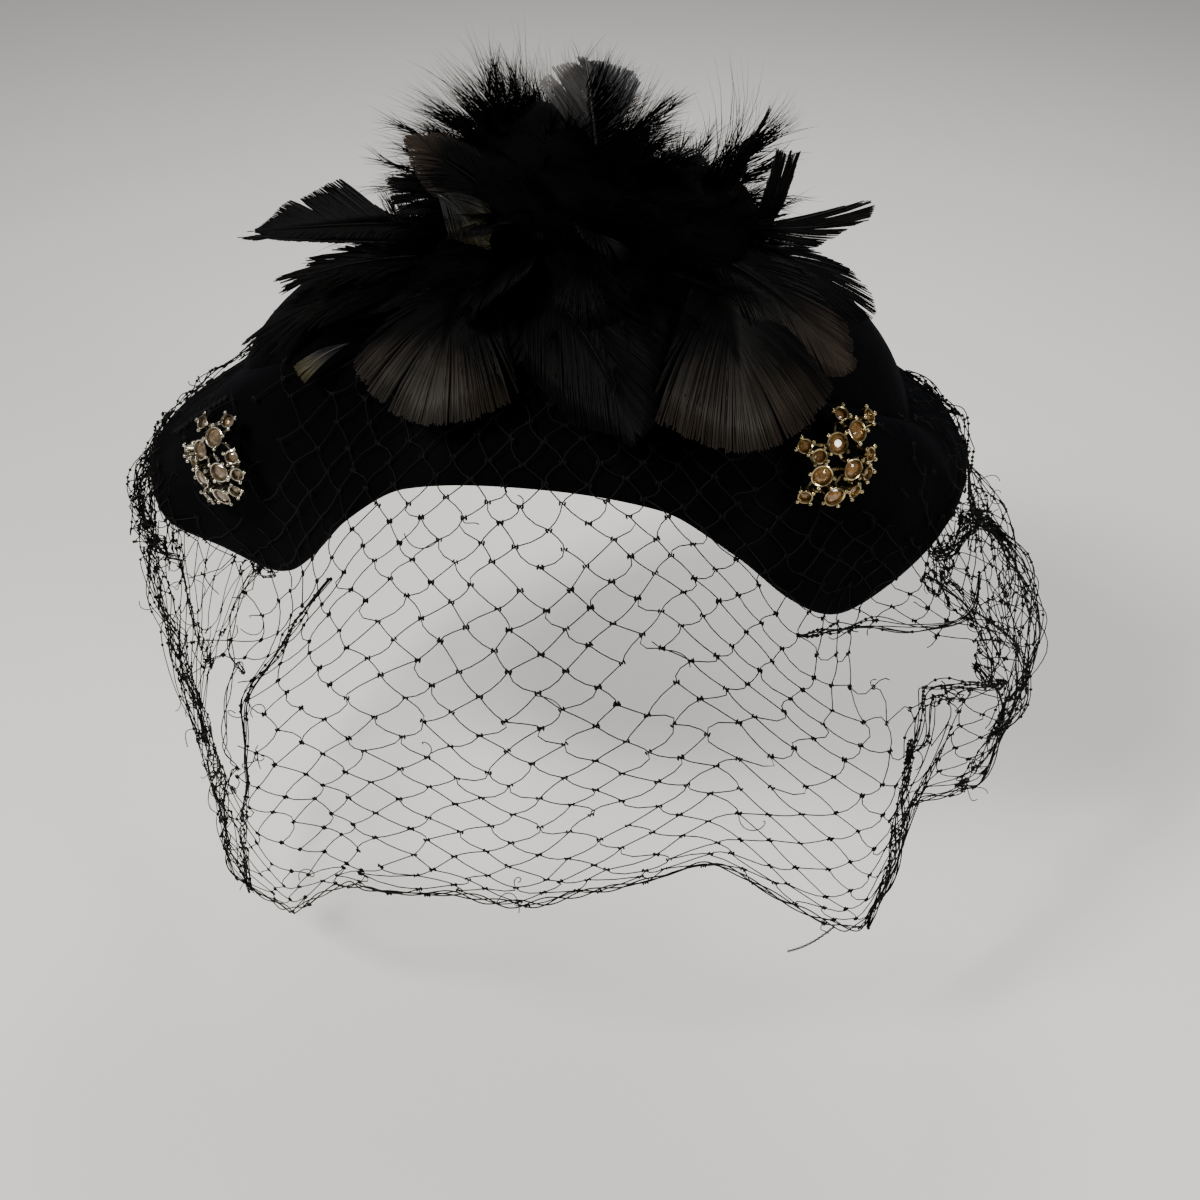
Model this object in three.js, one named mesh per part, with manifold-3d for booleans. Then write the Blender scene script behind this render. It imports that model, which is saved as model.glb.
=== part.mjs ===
import * as THREE from 'three';
import { mergeVertices } from 'three/addons/utils/BufferGeometryUtils.js';
import Module from 'manifold-3d';

// A black velvet half hat with a feather plume, a netting veil and two cluster brooches.
// Millimetres, +Z up, -Y the front. The origin is the inner top of the crown, where it sits.
// An azimuth is 0 at the front and grows towards +X.

const wasm = await Module();
wasm.setup();

const FIT_GAP = 0.4;

// Velvet dome: half widths and height of its outer face above its base plane
const CROWN_HALF_WIDTH = 95;
const CROWN_FRONT_DEPTH = 70;
const CROWN_BACK_DEPTH = 80;
const CROWN_BASE_Z = -50;
const CROWN_SQUARENESS = 2.4;
const VELVET_WALL = 3;
const CROWN_HEIGHT = VELVET_WALL - CROWN_BASE_Z;
const STATIONS = 48;
const CROWN_RINGS = 4;
const CROWN_CLEARANCE = 1;

// Height of the line where the crown ends and the brim starts
const JOIN_LINE = [
  { azimuth: -180, z: -36 },
  { azimuth: -120, z: -40 },
  { azimuth: -92, z: -38 },
  { azimuth: -78, z: -26 },
  { azimuth: -60, z: -10 },
  { azimuth: -30, z: -5 },
  { azimuth: 0, z: -4 },
  { azimuth: 30, z: -5 },
  { azimuth: 60, z: -10 },
  { azimuth: 78, z: -26 },
  { azimuth: 92, z: -40 },
  { azimuth: 120, z: -40 },
  { azimuth: 180, z: -36 },
];

// Brim: where its edge runs, and how steeply it leaves the crown and meets the edge,
// in degrees below the horizontal. Two points dip in front and a lobe flares on each side.
const BRIM = [
  { azimuth: -180, leave: 40, arrive: 75, radius: 86, z: -50 },
  { azimuth: -150, leave: 38, arrive: 75, radius: 93, z: -52 },
  { azimuth: -122, leave: 46, arrive: 72, radius: 106, z: -58 },
  { azimuth: -102, leave: 44, arrive: 66, radius: 121, z: -64 },
  { azimuth: -88, leave: 42, arrive: 66, radius: 127, z: -69 },
  { azimuth: -79, leave: 36, arrive: 76, radius: 121, z: -78 },
  { azimuth: -71, leave: 32, arrive: 85, radius: 103, z: -79 },
  { azimuth: -63, leave: 30, arrive: 85, radius: 88.5, z: -81 },
  { azimuth: -54, leave: 30, arrive: 80, radius: 82, z: -69 },
  { azimuth: -42, leave: 30, arrive: 72, radius: 77, z: -48 },
  { azimuth: -27, leave: 30, arrive: 66, radius: 71, z: -31 },
  { azimuth: 0, leave: 28, arrive: 64, radius: 69, z: -23.5 },
  { azimuth: 27, leave: 30, arrive: 66, radius: 71, z: -31 },
  { azimuth: 42, leave: 30, arrive: 72, radius: 77, z: -48 },
  { azimuth: 54, leave: 30, arrive: 80, radius: 83, z: -68 },
  { azimuth: 64, leave: 30, arrive: 85, radius: 89, z: -79 },
  { azimuth: 73, leave: 28, arrive: 86, radius: 99, z: -73 },
  { azimuth: 83, leave: 20, arrive: 85, radius: 107.5, z: -67 },
  { azimuth: 93, leave: 12, arrive: 85, radius: 113, z: -61 },
  { azimuth: 103, leave: 14, arrive: 80, radius: 111, z: -55 },
  { azimuth: 122, leave: 28, arrive: 75, radius: 102, z: -53 },
  { azimuth: 150, leave: 38, arrive: 75, radius: 92, z: -51 },
  { azimuth: 180, leave: 40, arrive: 75, radius: 86, z: -50 },
];
const BRIM_STEPS = 5;
const BRIM_EDGE_STEPS = 3;
const BEZIER_REACH = 0.36;
const NORMAL_AZIMUTH_STEP = 0.5;
const NORMAL_SHARE_STEP = 0.02;

// Veil: how far it stands out half way down, and where its hem hangs
const VEIL = [
  { azimuth: -116, midRadius: 126, midZ: -92, hemRadius: 112, hemZ: -126 },
  { azimuth: -98, midRadius: 131, midZ: -98, hemRadius: 118, hemZ: -156 },
  { azimuth: -80, midRadius: 130, midZ: -104, hemRadius: 117, hemZ: -184 },
  { azimuth: -64, midRadius: 122.5, midZ: -112, hemRadius: 120, hemZ: -195 },
  { azimuth: -46, midRadius: 118, midZ: -108, hemRadius: 111, hemZ: -188 },
  { azimuth: -32, midRadius: 108, midZ: -90, hemRadius: 106, hemZ: -156 },
  { azimuth: -19, midRadius: 103, midZ: -80, hemRadius: 107, hemZ: -138 },
  { azimuth: 0, midRadius: 100, midZ: -74, hemRadius: 102, hemZ: -136 },
  { azimuth: 15, midRadius: 101, midZ: -74, hemRadius: 104, hemZ: -128 },
  { azimuth: 28, midRadius: 105, midZ: -80, hemRadius: 106, hemZ: -122 },
  { azimuth: 40, midRadius: 112, midZ: -92, hemRadius: 116, hemZ: -142 },
  { azimuth: 52, midRadius: 120, midZ: -105, hemRadius: 121, hemZ: -166 },
  { azimuth: 66, midRadius: 124, midZ: -105, hemRadius: 119, hemZ: -150 },
  { azimuth: 80, midRadius: 135, midZ: -108, hemRadius: 128, hemZ: -158 },
  { azimuth: 96, midRadius: 134, midZ: -96, hemRadius: 126, hemZ: -134 },
  { azimuth: 112, midRadius: 124, midZ: -86, hemRadius: 112, hemZ: -118 },
];
const VEIL_FROM = -114;
const VEIL_TO = 110;
const VEIL_START = 0.1;
const VEIL_LIFT = 2.8;
const VEIL_THICKNESS = 1;
const VEIL_STRAND = 1.7;
const VEIL_COLUMNS = 12;
const VEIL_ROWS = 10;
const VEIL_WIDTH = 440;
const VEIL_DROP = 165;
const VEIL_KEEP_CLEAR = 5.2;
const VEIL_PATH_ON_BRIM = 7;
const VEIL_PATH_BELOW = 12;
const VEIL_SPACE_COLUMNS = 30;

// Plume: three mounds of short feathers, sizes as half axes
const MOUNDS = [
  { x: 2, y: -4, z: 0, wide: 44, deep: 34, high: 28 },
  { x: -5, y: -8, z: 26, wide: 24, deep: 19, high: 22 },
  { x: 30, y: -6, z: 16, wide: 19, deep: 17, high: 16 },
];

// Locks of the plume in tiers: azimuths in degrees, tilt above the horizontal, sizes in mm
const LOCK_TIERS = [
  { count: 3, from: -92, to: -56, x: 2, z: 2, tilt: -6, length: 58, width: 20, droop: 12 },
  { count: 4, from: -40, to: 40, x: 2, z: 2, tilt: -4, length: 40, width: 20, droop: 8 },
  { count: 3, from: 56, to: 92, x: 2, z: 2, tilt: -6, length: 56, width: 20, droop: 12 },
  { count: 8, from: 100, to: 260, x: 2, z: 2, tilt: -6, length: 54, width: 21, droop: 16 },
  { count: 10, from: 0, to: 324, x: 2, z: 10, tilt: 20, length: 50, width: 18, droop: 6 },
  { count: 7, from: -140, to: 180, x: -4, z: 22, tilt: 34, length: 35, width: 16, droop: 2 },
  { count: 6, from: -110, to: 110, x: -8, z: 32, tilt: 58, length: 28, width: 14, droop: 0 },
  { count: 4, from: -120, to: 140, x: 28, z: 16, tilt: 42, length: 26, width: 13, droop: 0 },
];
const LOCK_SPREAD = 9;
const LOCK_SIDES = 4;
const LOCK_STEPS = 2;
const LOCK_FLATNESS = 0.4;
const LOCK_TIP_REACH = 1.12;
const LOCK_TIP_DROOP = 1.25;
const MOUND_SIDES = 10;
const MOUND_RINGS = 6;

// Single feathers: root and tip, how far the middle lifts, the greatest width and the split end
const FEATHERS = [
  { name: 'feather_front_left_fan', root: [-18, -26, 10], tip: [-25, -66, -9], lift: 6, width: 37,
    end: 'fan', fingers: 5, face: [0, -0.5, 0.9], tone: 'bronze' },
  { name: 'feather_front_middle', root: [-6, -26, 11], tip: [27, -66, -10], lift: 7, width: 25,
    end: 'vane', fingers: 2, face: [0, -0.5, 0.9], tone: 'black' },
  { name: 'feather_front_right_fan', root: [38, -24, 12], tip: [54, -62, -12], lift: 6, width: 45,
    end: 'fan', fingers: 5, face: [0.2, -0.5, 0.9], tone: 'bronze' },
  { name: 'feather_right_bronze', root: [36, -20, 17], tip: [75, -37, -5], lift: 5, width: 24,
    end: 'vane', fingers: 3, face: [0.4, -0.5, 0.8], tone: 'bronze' },
  { name: 'feather_right_spiked', root: [36, -14, 18], tip: [79, -22, 3], lift: 4, width: 17,
    end: 'fan', fingers: 4, face: [0.3, -0.4, 0.8], tone: 'black' },
  { name: 'feather_right_strips', root: [38, -11, 22], tip: [76, -20, 26], lift: -3, width: 13,
    end: 'cut', fingers: 3, face: [0, -0.6, 0.8], tone: 'black' },
  { name: 'feather_right_hook', root: [42, -8, 18], tip: [55, -17, 43], lift: -6, width: 8,
    end: 'cut', fingers: 1, face: [0.3, -0.9, 0.1], tone: 'black' },
  { name: 'feather_right_wisp', root: [34, -10, 26], tip: [54, -20, 54], lift: -3, width: 13,
    end: 'fan', fingers: 3, face: [0, -0.9, 0.3], tone: 'black' },
  { name: 'feather_top_vane', root: [10, -14, 34], tip: [8, -21, 63], lift: 2, width: 25,
    end: 'vane', fingers: 2, face: [0, -1, 0.2], tone: 'grey' },
  { name: 'feather_left_wing', root: [-24, -12, 22], tip: [-80, -20, 14], lift: 4, width: 16,
    end: 'vane', fingers: 2, face: [0, -0.7, 0.7], tone: 'black' },
  { name: 'feather_left_low', root: [-28, -14, 14], tip: [-83, -26, 10], lift: 2, width: 7,
    end: 'vane', fingers: 1, face: [0, -0.5, 0.9], tone: 'black' },
  { name: 'feather_left_strips', root: [-18, -12, 26], tip: [-42, -18, 30], lift: 2, width: 10,
    end: 'cut', fingers: 3, face: [0, -0.8, 0.5], tone: 'black' },
  { name: 'feather_left_bronze', root: [-8, -20, 28], tip: [-35, -26, 39], lift: 2, width: 15,
    end: 'cut', fingers: 2, face: [0.1, -0.9, 0.4], tone: 'bronze' },
  { name: 'feather_left_olive', root: [-22, -22, 26], tip: [-14, -40, 20], lift: 5, width: 15,
    end: 'cut', fingers: 2, face: [0.1, -0.8, 0.6], tone: 'olive' },
  { name: 'feather_left_sweep_1', root: [-26, -18, 10], tip: [-72, -24, 1], lift: 3, width: 13,
    end: 'fan', fingers: 3, face: [0, -0.5, 0.9], tone: 'black' },
  { name: 'feather_left_sweep_2', root: [-26, -22, 6], tip: [-82, -28, -17], lift: 7, width: 15,
    end: 'fan', fingers: 3, face: [-0.2, -0.5, 0.9], tone: 'black' },
  { name: 'feather_left_sweep_3', root: [-22, -26, 7], tip: [-58, -43, -10], lift: 6, width: 10,
    end: 'cut', fingers: 2, face: [-0.2, -0.5, 0.9], tone: 'olive' },
];
const FEATHER_THICKNESS = 1;
const FEATHER_STATIONS = 5;
const FEATHER_SOLID_SHARE = 0.78;
const FEATHER_QUILL_WIDTH = 3;
const FEATHER_CUP = 0.006;
const FEATHER_ROOM = 0.7;

// Brooches: one casting, used twice. Cups lie on a dome; a big cup's stone has the larger radius.
const CUPS = [
  { name: 'a', x: -0.6, y: 5.1, size: 'big' },
  { name: 'b', x: 4.8, y: 6.9, size: 'big' },
  { name: 'c', x: 3.1, y: -1.1, size: 'big' },
  { name: 'd', x: -4.4, y: -1.6, size: 'big' },
  { name: 'e', x: -1, y: -7, size: 'big' },
  { name: 'f', x: 1.5, y: 11, size: 'small' },
  { name: 'g', x: -7.8, y: 5.2, size: 'small' },
  { name: 'h', x: -4.9, y: 2.8, size: 'small' },
  { name: 'i', x: 9, y: 9.4, size: 'small' },
  { name: 'j', x: 8, y: 1.3, size: 'small' },
  { name: 'k', x: 7.4, y: -2.9, size: 'small' },
  { name: 'l', x: -7.6, y: -6.4, size: 'small' },
  { name: 'm', x: 4.2, y: -6.6, size: 'small' },
];
const STONE_RADIUS = { big: 2.4, small: 1.5 };
const STONE_SIDES = 6;
const STONE_DEPTH = 0.42;
const STONE_TABLE = 0.62;
const STONE_TOP = 0.36;
const CUP_WALL = 0.6;
const CUP_HEIGHT = 3.2;
const CUP_RECESS = 1.7;
const CUP_SIDES = 7;
const DOME_RADIUS = 22;
const DOME_LEAN_RADIUS = 18;
const DOME_TOP = 5.4;
const BROOCH_LIFT = 1;
const PLATE_RADIUS = 11;
const PLATE_THICKNESS = 1.2;
const PLATE_SIDES = 12;
const PLATE_STEPS = 2;
const PIERCING_DEPTH = 12;
const PIERCING_SIDES = 6;
const NET_CLEARANCE = 3;
const NET_CLEARANCE_DEPTH = 24;
const PIERCINGS = [
  { x: 0.2, y: 1.2, radius: 1.3 },
  { x: -3.2, y: -5.4, radius: 0.9 },
  { x: 2.4, y: -4.4, radius: 0.8 },
];

// Where each brooch is pinned: azimuth, share of the way from crown to edge, turn on its face
const BROOCHES = [
  { name: 'brooch_left', azimuth: -68.5, share: 0.53, turn: 30, tone: 'pale' },
  { name: 'brooch_right', azimuth: 61.5, share: 0.33, turn: -4, tone: 'gold' },
];

const MATERIALS = {
  velvet: new THREE.MeshStandardMaterial({ color: 0x0b0b10, roughness: 0.95, metalness: 0 }),
  net: new THREE.MeshStandardMaterial({ color: 0x141416, roughness: 0.7, metalness: 0 }),
  down: new THREE.MeshStandardMaterial({ color: 0x0c0b0c, roughness: 0.8, metalness: 0 }),
  black: new THREE.MeshStandardMaterial({ color: 0x121112, roughness: 0.5, metalness: 0 }),
  grey: new THREE.MeshStandardMaterial({ color: 0x2c2c2c, roughness: 0.5, metalness: 0 }),
  bronze: new THREE.MeshStandardMaterial({ color: 0x3a3028, roughness: 0.45, metalness: 0 }),
  olive: new THREE.MeshStandardMaterial({ color: 0x45452f, roughness: 0.5, metalness: 0 }),
  gold: new THREE.MeshStandardMaterial({ color: 0xb8944a, roughness: 0.3, metalness: 1 }),
  pale: new THREE.MeshStandardMaterial({ color: 0xb5a276, roughness: 0.3, metalness: 1 }),
  amber: new THREE.MeshStandardMaterial({ color: 0xc98a2e, roughness: 0.1, metalness: 0 }),
  champagne: new THREE.MeshStandardMaterial({ color: 0xcbb183, roughness: 0.1, metalness: 0 }),
};

const radians = THREE.MathUtils.degToRad;
const vector = (x, y, z) => new THREE.Vector3(x, y, z);

function seededRandom(seed) {
  let state = seed;
  return () => {
    state = (state * 1664525 + 1013904223) % 4294967296;
    return state / 4294967296;
  };
}

// Smooth value of one column of a table at an azimuth
function lookUp(table, column, azimuth) {
  let i = 0;
  while (i < table.length - 2 && azimuth > table[i + 1].azimuth) i += 1;
  const slopeAt = (k) => {
    const before = table[Math.max(k - 1, 0)];
    const after = table[Math.min(k + 1, table.length - 1)];
    return (after[column] - before[column]) / (after.azimuth - before.azimuth);
  };
  const span = table[i + 1].azimuth - table[i].azimuth;
  const t = THREE.MathUtils.clamp((azimuth - table[i].azimuth) / span, 0, 1);
  const start = table[i][column];
  const end = table[i + 1][column];
  const rise = t * t * (3 - 2 * t);
  return start + (end - start) * rise + span * slopeAt(i) * t * (1 - t) ** 2
    - span * slopeAt(i + 1) * t * t * (1 - t);
}

// Point at an azimuth, a distance from the Z axis and a height
function polar(azimuth, radius, z) {
  const a = radians(azimuth);
  return vector(radius * Math.sin(a), -radius * Math.cos(a), z);
}

function signedVolume(geometry) {
  const p = geometry.attributes.position;
  const index = geometry.index.array;
  const [a, b, c] = [vector(), vector(), vector()];
  let sum = 0;
  for (let i = 0; i < index.length; i += 3) {
    a.fromBufferAttribute(p, index[i]);
    b.fromBufferAttribute(p, index[i + 1]);
    c.fromBufferAttribute(p, index[i + 2]);
    sum += a.dot(b.cross(c)) / 6;
  }
  return sum;
}

// The same geometry with shared corners merged and its faces pointing out
function closed(geometry) {
  const bare = geometry.index ? geometry.toNonIndexed() : geometry.clone();
  bare.deleteAttribute('normal');
  bare.deleteAttribute('uv');
  const merged = mergeVertices(bare, 1e-4);
  const triangles = merged.index.array;
  const kept = [];
  for (let i = 0; i < triangles.length; i += 3) {
    const [a, b, c] = triangles.slice(i, i + 3);
    if (a !== b && b !== c && c !== a) kept.push(a, b, c);
  }
  merged.setIndex(kept);
  if (signedVolume(merged) < 0) {
    const index = merged.index.array;
    for (let i = 0; i < index.length; i += 3) {
      [index[i + 1], index[i + 2]] = [index[i + 2], index[i + 1]];
    }
  }
  return merged;
}

function toSolid(geometry) {
  const mesh = closed(geometry);
  return new wasm.Manifold(new wasm.Mesh({
    numProp: 3,
    vertProperties: Float32Array.from(mesh.attributes.position.array),
    triVerts: Uint32Array.from(mesh.index.array),
  }));
}

function toGeometry(solid) {
  const mesh = solid.getMesh();
  const geometry = new THREE.BufferGeometry();
  const corners = new Float32Array(mesh.numVert * 3);
  for (let i = 0; i < mesh.numVert; i += 1) {
    for (let k = 0; k < 3; k += 1) corners[i * 3 + k] = mesh.vertProperties[i * mesh.numProp + k];
  }
  geometry.setAttribute('position', new THREE.BufferAttribute(corners, 3));
  geometry.setIndex(Array.from(mesh.triVerts));
  return geometry;
}

function largestBody(solid) {
  const bodies = solid.decompose();
  return bodies.reduce((best, body) => (body.volume() > best.volume() ? body : best));
}

function joinAll(solids) {
  return solids.reduce((whole, solid) => whole.add(solid));
}

// A closed body from rings of equal length. Each end is closed by a fan to its cap point,
// or the last ring joins the first one when no caps are given.
function ringBody(rings, caps) {
  const count = rings[0].length;
  const corners = rings.flat();
  const index = [];
  const bands = caps ? rings.length - 1 : rings.length;
  for (let i = 0; i < bands; i += 1) {
    const here = i * count;
    const next = ((i + 1) % rings.length) * count;
    for (let j = 0; j < count; j += 1) {
      const k = (j + 1) % count;
      index.push(here + j, next + j, next + k, here + j, next + k, here + k);
    }
  }
  if (caps) {
    const last = (rings.length - 1) * count;
    corners.push(caps[0], caps[1]);
    for (let j = 0; j < count; j += 1) {
      const k = (j + 1) % count;
      index.push(corners.length - 2, j, k, corners.length - 1, last + k, last + j);
    }
  }
  const geometry = new THREE.BufferGeometry().setFromPoints(corners);
  geometry.setIndex(index);
  return closed(geometry);
}

// Crown

function crownRadius(azimuth, inset) {
  const a = radians(azimuth);
  const depth = Math.cos(a) > 0 ? CROWN_FRONT_DEPTH : CROWN_BACK_DEPTH;
  const across = Math.abs(Math.sin(a)) / (CROWN_HALF_WIDTH - inset);
  const along = Math.abs(Math.cos(a)) / (depth - inset);
  return 1 / Math.hypot(across, along);
}

// Point on the dome at a share of the way from its top to the height z of its rim
function domePoint(azimuth, share, rimZ, inset) {
  const height = CROWN_HEIGHT - inset;
  const level = THREE.MathUtils.clamp((rimZ - CROWN_BASE_Z) / height, 0, 1);
  const angle = share * Math.acos(level ** (CROWN_SQUARENESS / 2));
  const out = Math.sin(angle) ** (2 / CROWN_SQUARENESS);
  const up = Math.cos(angle) ** (2 / CROWN_SQUARENESS);
  return polar(azimuth, out * crownRadius(azimuth, inset), CROWN_BASE_Z + up * height);
}

function joinRadius(azimuth, inset) {
  const rim = domePoint(azimuth, 1, lookUp(JOIN_LINE, 'z', azimuth), inset);
  return Math.hypot(rim.x, rim.y);
}

function stationAzimuths() {
  return Array.from({ length: STATIONS }, (_, i) => -180 + (360 * i) / STATIONS);
}

function domeRing(share, inset) {
  return stationAzimuths().map(
    (azimuth) => domePoint(azimuth, share, lookUp(JOIN_LINE, 'z', azimuth), inset),
  );
}

function makeCrown() {
  const rings = [];
  for (let i = 1; i <= CROWN_RINGS; i += 1) rings.push(domeRing(i / CROWN_RINGS, 0));
  for (let i = CROWN_RINGS; i >= 1; i -= 1) rings.push(domeRing(i / CROWN_RINGS, VELVET_WALL));
  return ringBody(rings, [vector(0, 0, VELVET_WALL), vector(0, 0, 0)]);
}

// Solid dome, grown by a margin, that clears the crown out of what sits on it
function crownBlock(margin) {
  const rings = [];
  for (let i = 1; i <= CROWN_RINGS; i += 1) rings.push(domeRing(i / CROWN_RINGS, -margin));
  return toSolid(ringBody(rings, [vector(0, 0, VELVET_WALL + margin), vector(0, 0, CROWN_BASE_Z)]));
}

// Brim

// Section of the brim's outer face at an azimuth, in a plane of radius and height
function brimCurve(azimuth) {
  const joinZ = lookUp(JOIN_LINE, 'z', azimuth) - FIT_GAP;
  const start = new THREE.Vector2(joinRadius(azimuth, 0), joinZ);
  const end = new THREE.Vector2(lookUp(BRIM, 'radius', azimuth), lookUp(BRIM, 'z', azimuth));
  const reach = start.distanceTo(end) * BEZIER_REACH;
  const slope = (column) => {
    const angle = radians(lookUp(BRIM, column, azimuth));
    return new THREE.Vector2(Math.cos(angle), -Math.sin(angle)).multiplyScalar(reach);
  };
  return new THREE.CubicBezierCurve(
    start, start.clone().add(slope('leave')), end.clone().sub(slope('arrive')), end,
  );
}

// Point beside the brim's outer face: lift is measured square to the section
function brimPoint(curve, azimuth, share, lift) {
  const point = curve.getPoint(share);
  const along = curve.getTangent(share);
  return polar(azimuth, point.x - along.y * lift, point.y + along.x * lift);
}

// Direction square to the brim's outer face, pointing away from it
function brimNormal(azimuth, share) {
  const at = (a, s) => brimPoint(brimCurve(a), a, s, 0);
  const around = at(azimuth + NORMAL_AZIMUTH_STEP, share).sub(at(azimuth - NORMAL_AZIMUTH_STEP, share));
  const down = at(azimuth, share + NORMAL_SHARE_STEP).sub(at(azimuth, share - NORMAL_SHARE_STEP));
  return around.cross(down).negate().normalize();
}

function brimSection(azimuth) {
  const curve = brimCurve(azimuth);
  const inner = new THREE.Vector2(joinRadius(azimuth, VELVET_WALL), curve.v0.y);
  const section = [];
  for (let i = 0; i <= BRIM_STEPS; i += 1) section.push(brimPoint(curve, azimuth, i / BRIM_STEPS, 0));
  const edge = curve.getPoint(1);
  const along = curve.getTangent(1);
  const half = VELVET_WALL / 2;
  for (let i = 1; i < BRIM_EDGE_STEPS; i += 1) {
    const turn = (Math.PI * i) / BRIM_EDGE_STEPS;
    const across = half * (1 - Math.cos(turn));
    const out = half * Math.sin(turn);
    const radius = edge.x + along.y * across + along.x * out;
    const z = edge.y - along.x * across + along.y * out;
    section.push(polar(azimuth, radius, z));
  }
  for (let i = BRIM_STEPS; i >= 1; i -= 1) {
    section.push(brimPoint(curve, azimuth, i / BRIM_STEPS, -VELVET_WALL));
  }
  section.push(polar(azimuth, inner.x, inner.y));
  return section;
}

function makeBrim() {
  return ringBody(stationAzimuths().map(brimSection));
}

// Veil

// Path of the net at an azimuth: over the brim, out past the edge and down to the hem
function veilPath(azimuth, lift) {
  const curve = brimCurve(azimuth);
  const points = [];
  for (let i = 0; i <= VEIL_PATH_ON_BRIM; i += 1) {
    const share = VEIL_START + ((1 - VEIL_START) * i) / VEIL_PATH_ON_BRIM;
    points.push(brimPoint(curve, azimuth, share, lift));
  }
  const edge = points[points.length - 1];
  const middle = polar(azimuth, lookUp(VEIL, 'midRadius', azimuth) + lift, lookUp(VEIL, 'midZ', azimuth));
  const hem = polar(azimuth, lookUp(VEIL, 'hemRadius', azimuth) + lift, lookUp(VEIL, 'hemZ', azimuth));
  const along = curve.getTangent(1);
  const leave = polar(azimuth, along.x, along.y).multiplyScalar(edge.distanceTo(middle) * 0.5);
  const hang = new THREE.CatmullRomCurve3([
    edge, edge.clone().add(leave).lerp(edge.clone().lerp(middle, 0.5), 0.5), middle, hem,
  ]);
  for (let i = 1; i <= VEIL_PATH_BELOW; i += 1) points.push(hang.getPoint(i / VEIL_PATH_BELOW));
  const path = new THREE.CurvePath();
  for (let i = 1; i < points.length; i += 1) path.add(new THREE.LineCurve3(points[i - 1], points[i]));
  return path;
}

// Point of the net: u runs round it from 0 to 1, v from its top to its hem
function veilPoint(u, v, lift) {
  const azimuth = VEIL_FROM + (VEIL_TO - VEIL_FROM) * u;
  return veilPath(azimuth, VEIL_LIFT + lift).getPointAt(THREE.MathUtils.clamp(v, 0, 1));
}

// Flat net: rows of diamonds, odd rows one short and half a cell along, with a zigzag rim
function flatNet() {
  const cell = VEIL_WIDTH / VEIL_COLUMNS;
  const half = VEIL_DROP / (VEIL_ROWS + 1);
  const centre = (row, column) => [
    (column + (row % 2 ? 1 : 0.5)) * cell,
    (row + 1) * half,
  ];
  const shrink = VEIL_STRAND / 2;
  const diamond = ([x, y], grow) => [
    [x - cell / 2 - grow, y], [x, y - half - grow], [x + cell / 2 + grow, y], [x, y + half + grow],
  ];
  const rim = [];
  for (let column = 0; column < VEIL_COLUMNS; column += 1) {
    const [x, y] = centre(0, column);
    rim.push([x - cell / 2, y - (column ? shrink : 0)], [x, y - half]);
  }
  for (let row = 0; row < VEIL_ROWS; row += 2) {
    const [x, y] = centre(row, VEIL_COLUMNS - 1);
    rim.push([x + cell / 2 + shrink, y]);
    rim.push([x + shrink, y + half]);
  }
  const lastRow = VEIL_ROWS - 1;
  for (let column = VEIL_COLUMNS - 2; column >= 0; column -= 1) {
    const [x, y] = centre(lastRow, column);
    if (column < VEIL_COLUMNS - 2) rim.push([x + cell / 2, y + shrink]);
    rim.push([x, y + half]);
  }
  for (let row = VEIL_ROWS - 2; row >= 0; row -= 2) {
    const [x, y] = centre(row, 0);
    rim.push([x - shrink, y + half]);
    rim.push([x - cell / 2 - shrink, y]);
  }
  rim.shift();
  const shape = new THREE.Shape(rim.map(([x, y]) => new THREE.Vector2(x, y)));
  for (let row = 0; row < VEIL_ROWS; row += 1) {
    for (let column = 0; column < VEIL_COLUMNS - (row % 2); column += 1) {
      const corners = diamond(centre(row, column), -shrink * 1.4);
      shape.holes.push(new THREE.Path(corners.map(([x, y]) => new THREE.Vector2(x, y))));
    }
  }
  return shape;
}

function makeVeil(brooches) {
  const flat = closed(new THREE.ExtrudeGeometry(flatNet(), { depth: VEIL_THICKNESS, bevelEnabled: false }));
  const position = flat.attributes.position;
  for (let i = 0; i < position.count; i += 1) {
    const u = position.getX(i) / VEIL_WIDTH;
    const v = position.getY(i) / VEIL_DROP;
    const point = veilPoint(u, v, position.getZ(i));
    position.setXYZ(i, point.x, point.y, point.z);
  }
  let net = toSolid(flat);
  for (const brooch of brooches) {
    const radius = PLATE_RADIUS + NET_CLEARANCE;
    const clear = new THREE.CylinderGeometry(radius, radius, NET_CLEARANCE_DEPTH, PLATE_SIDES);
    clear.rotateX(Math.PI / 2);
    brooch.updateMatrixWorld(true);
    clear.applyMatrix4(brooch.matrixWorld);
    net = net.subtract(toSolid(clear));
  }
  return toGeometry(largestBody(net));
}

// Space over the brim that the net needs, cleared out of the feathers
function veilSpace() {
  const rings = [];
  for (let i = 0; i <= VEIL_SPACE_COLUMNS; i += 1) {
    const azimuth = VEIL_FROM + ((VEIL_TO - VEIL_FROM) * i) / VEIL_SPACE_COLUMNS;
    const curve = brimCurve(azimuth);
    const ring = [];
    const add = (step, lift) => ring.push(brimPoint(curve, azimuth, step / BRIM_STEPS, lift));
    for (let k = 0; k <= BRIM_STEPS; k += 1) add(k, VEIL_KEEP_CLEAR);
    for (let k = BRIM_STEPS; k >= 0; k -= 1) add(k, -VELVET_WALL);
    rings.push(ring);
  }
  const middle = (ring) => ring.reduce((sum, p) => sum.add(p), vector(0, 0, 0)).divideScalar(ring.length);
  return toSolid(ringBody(rings, [middle(rings[0]), middle(rings[VEIL_SPACE_COLUMNS])]));
}

// Plume

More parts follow.
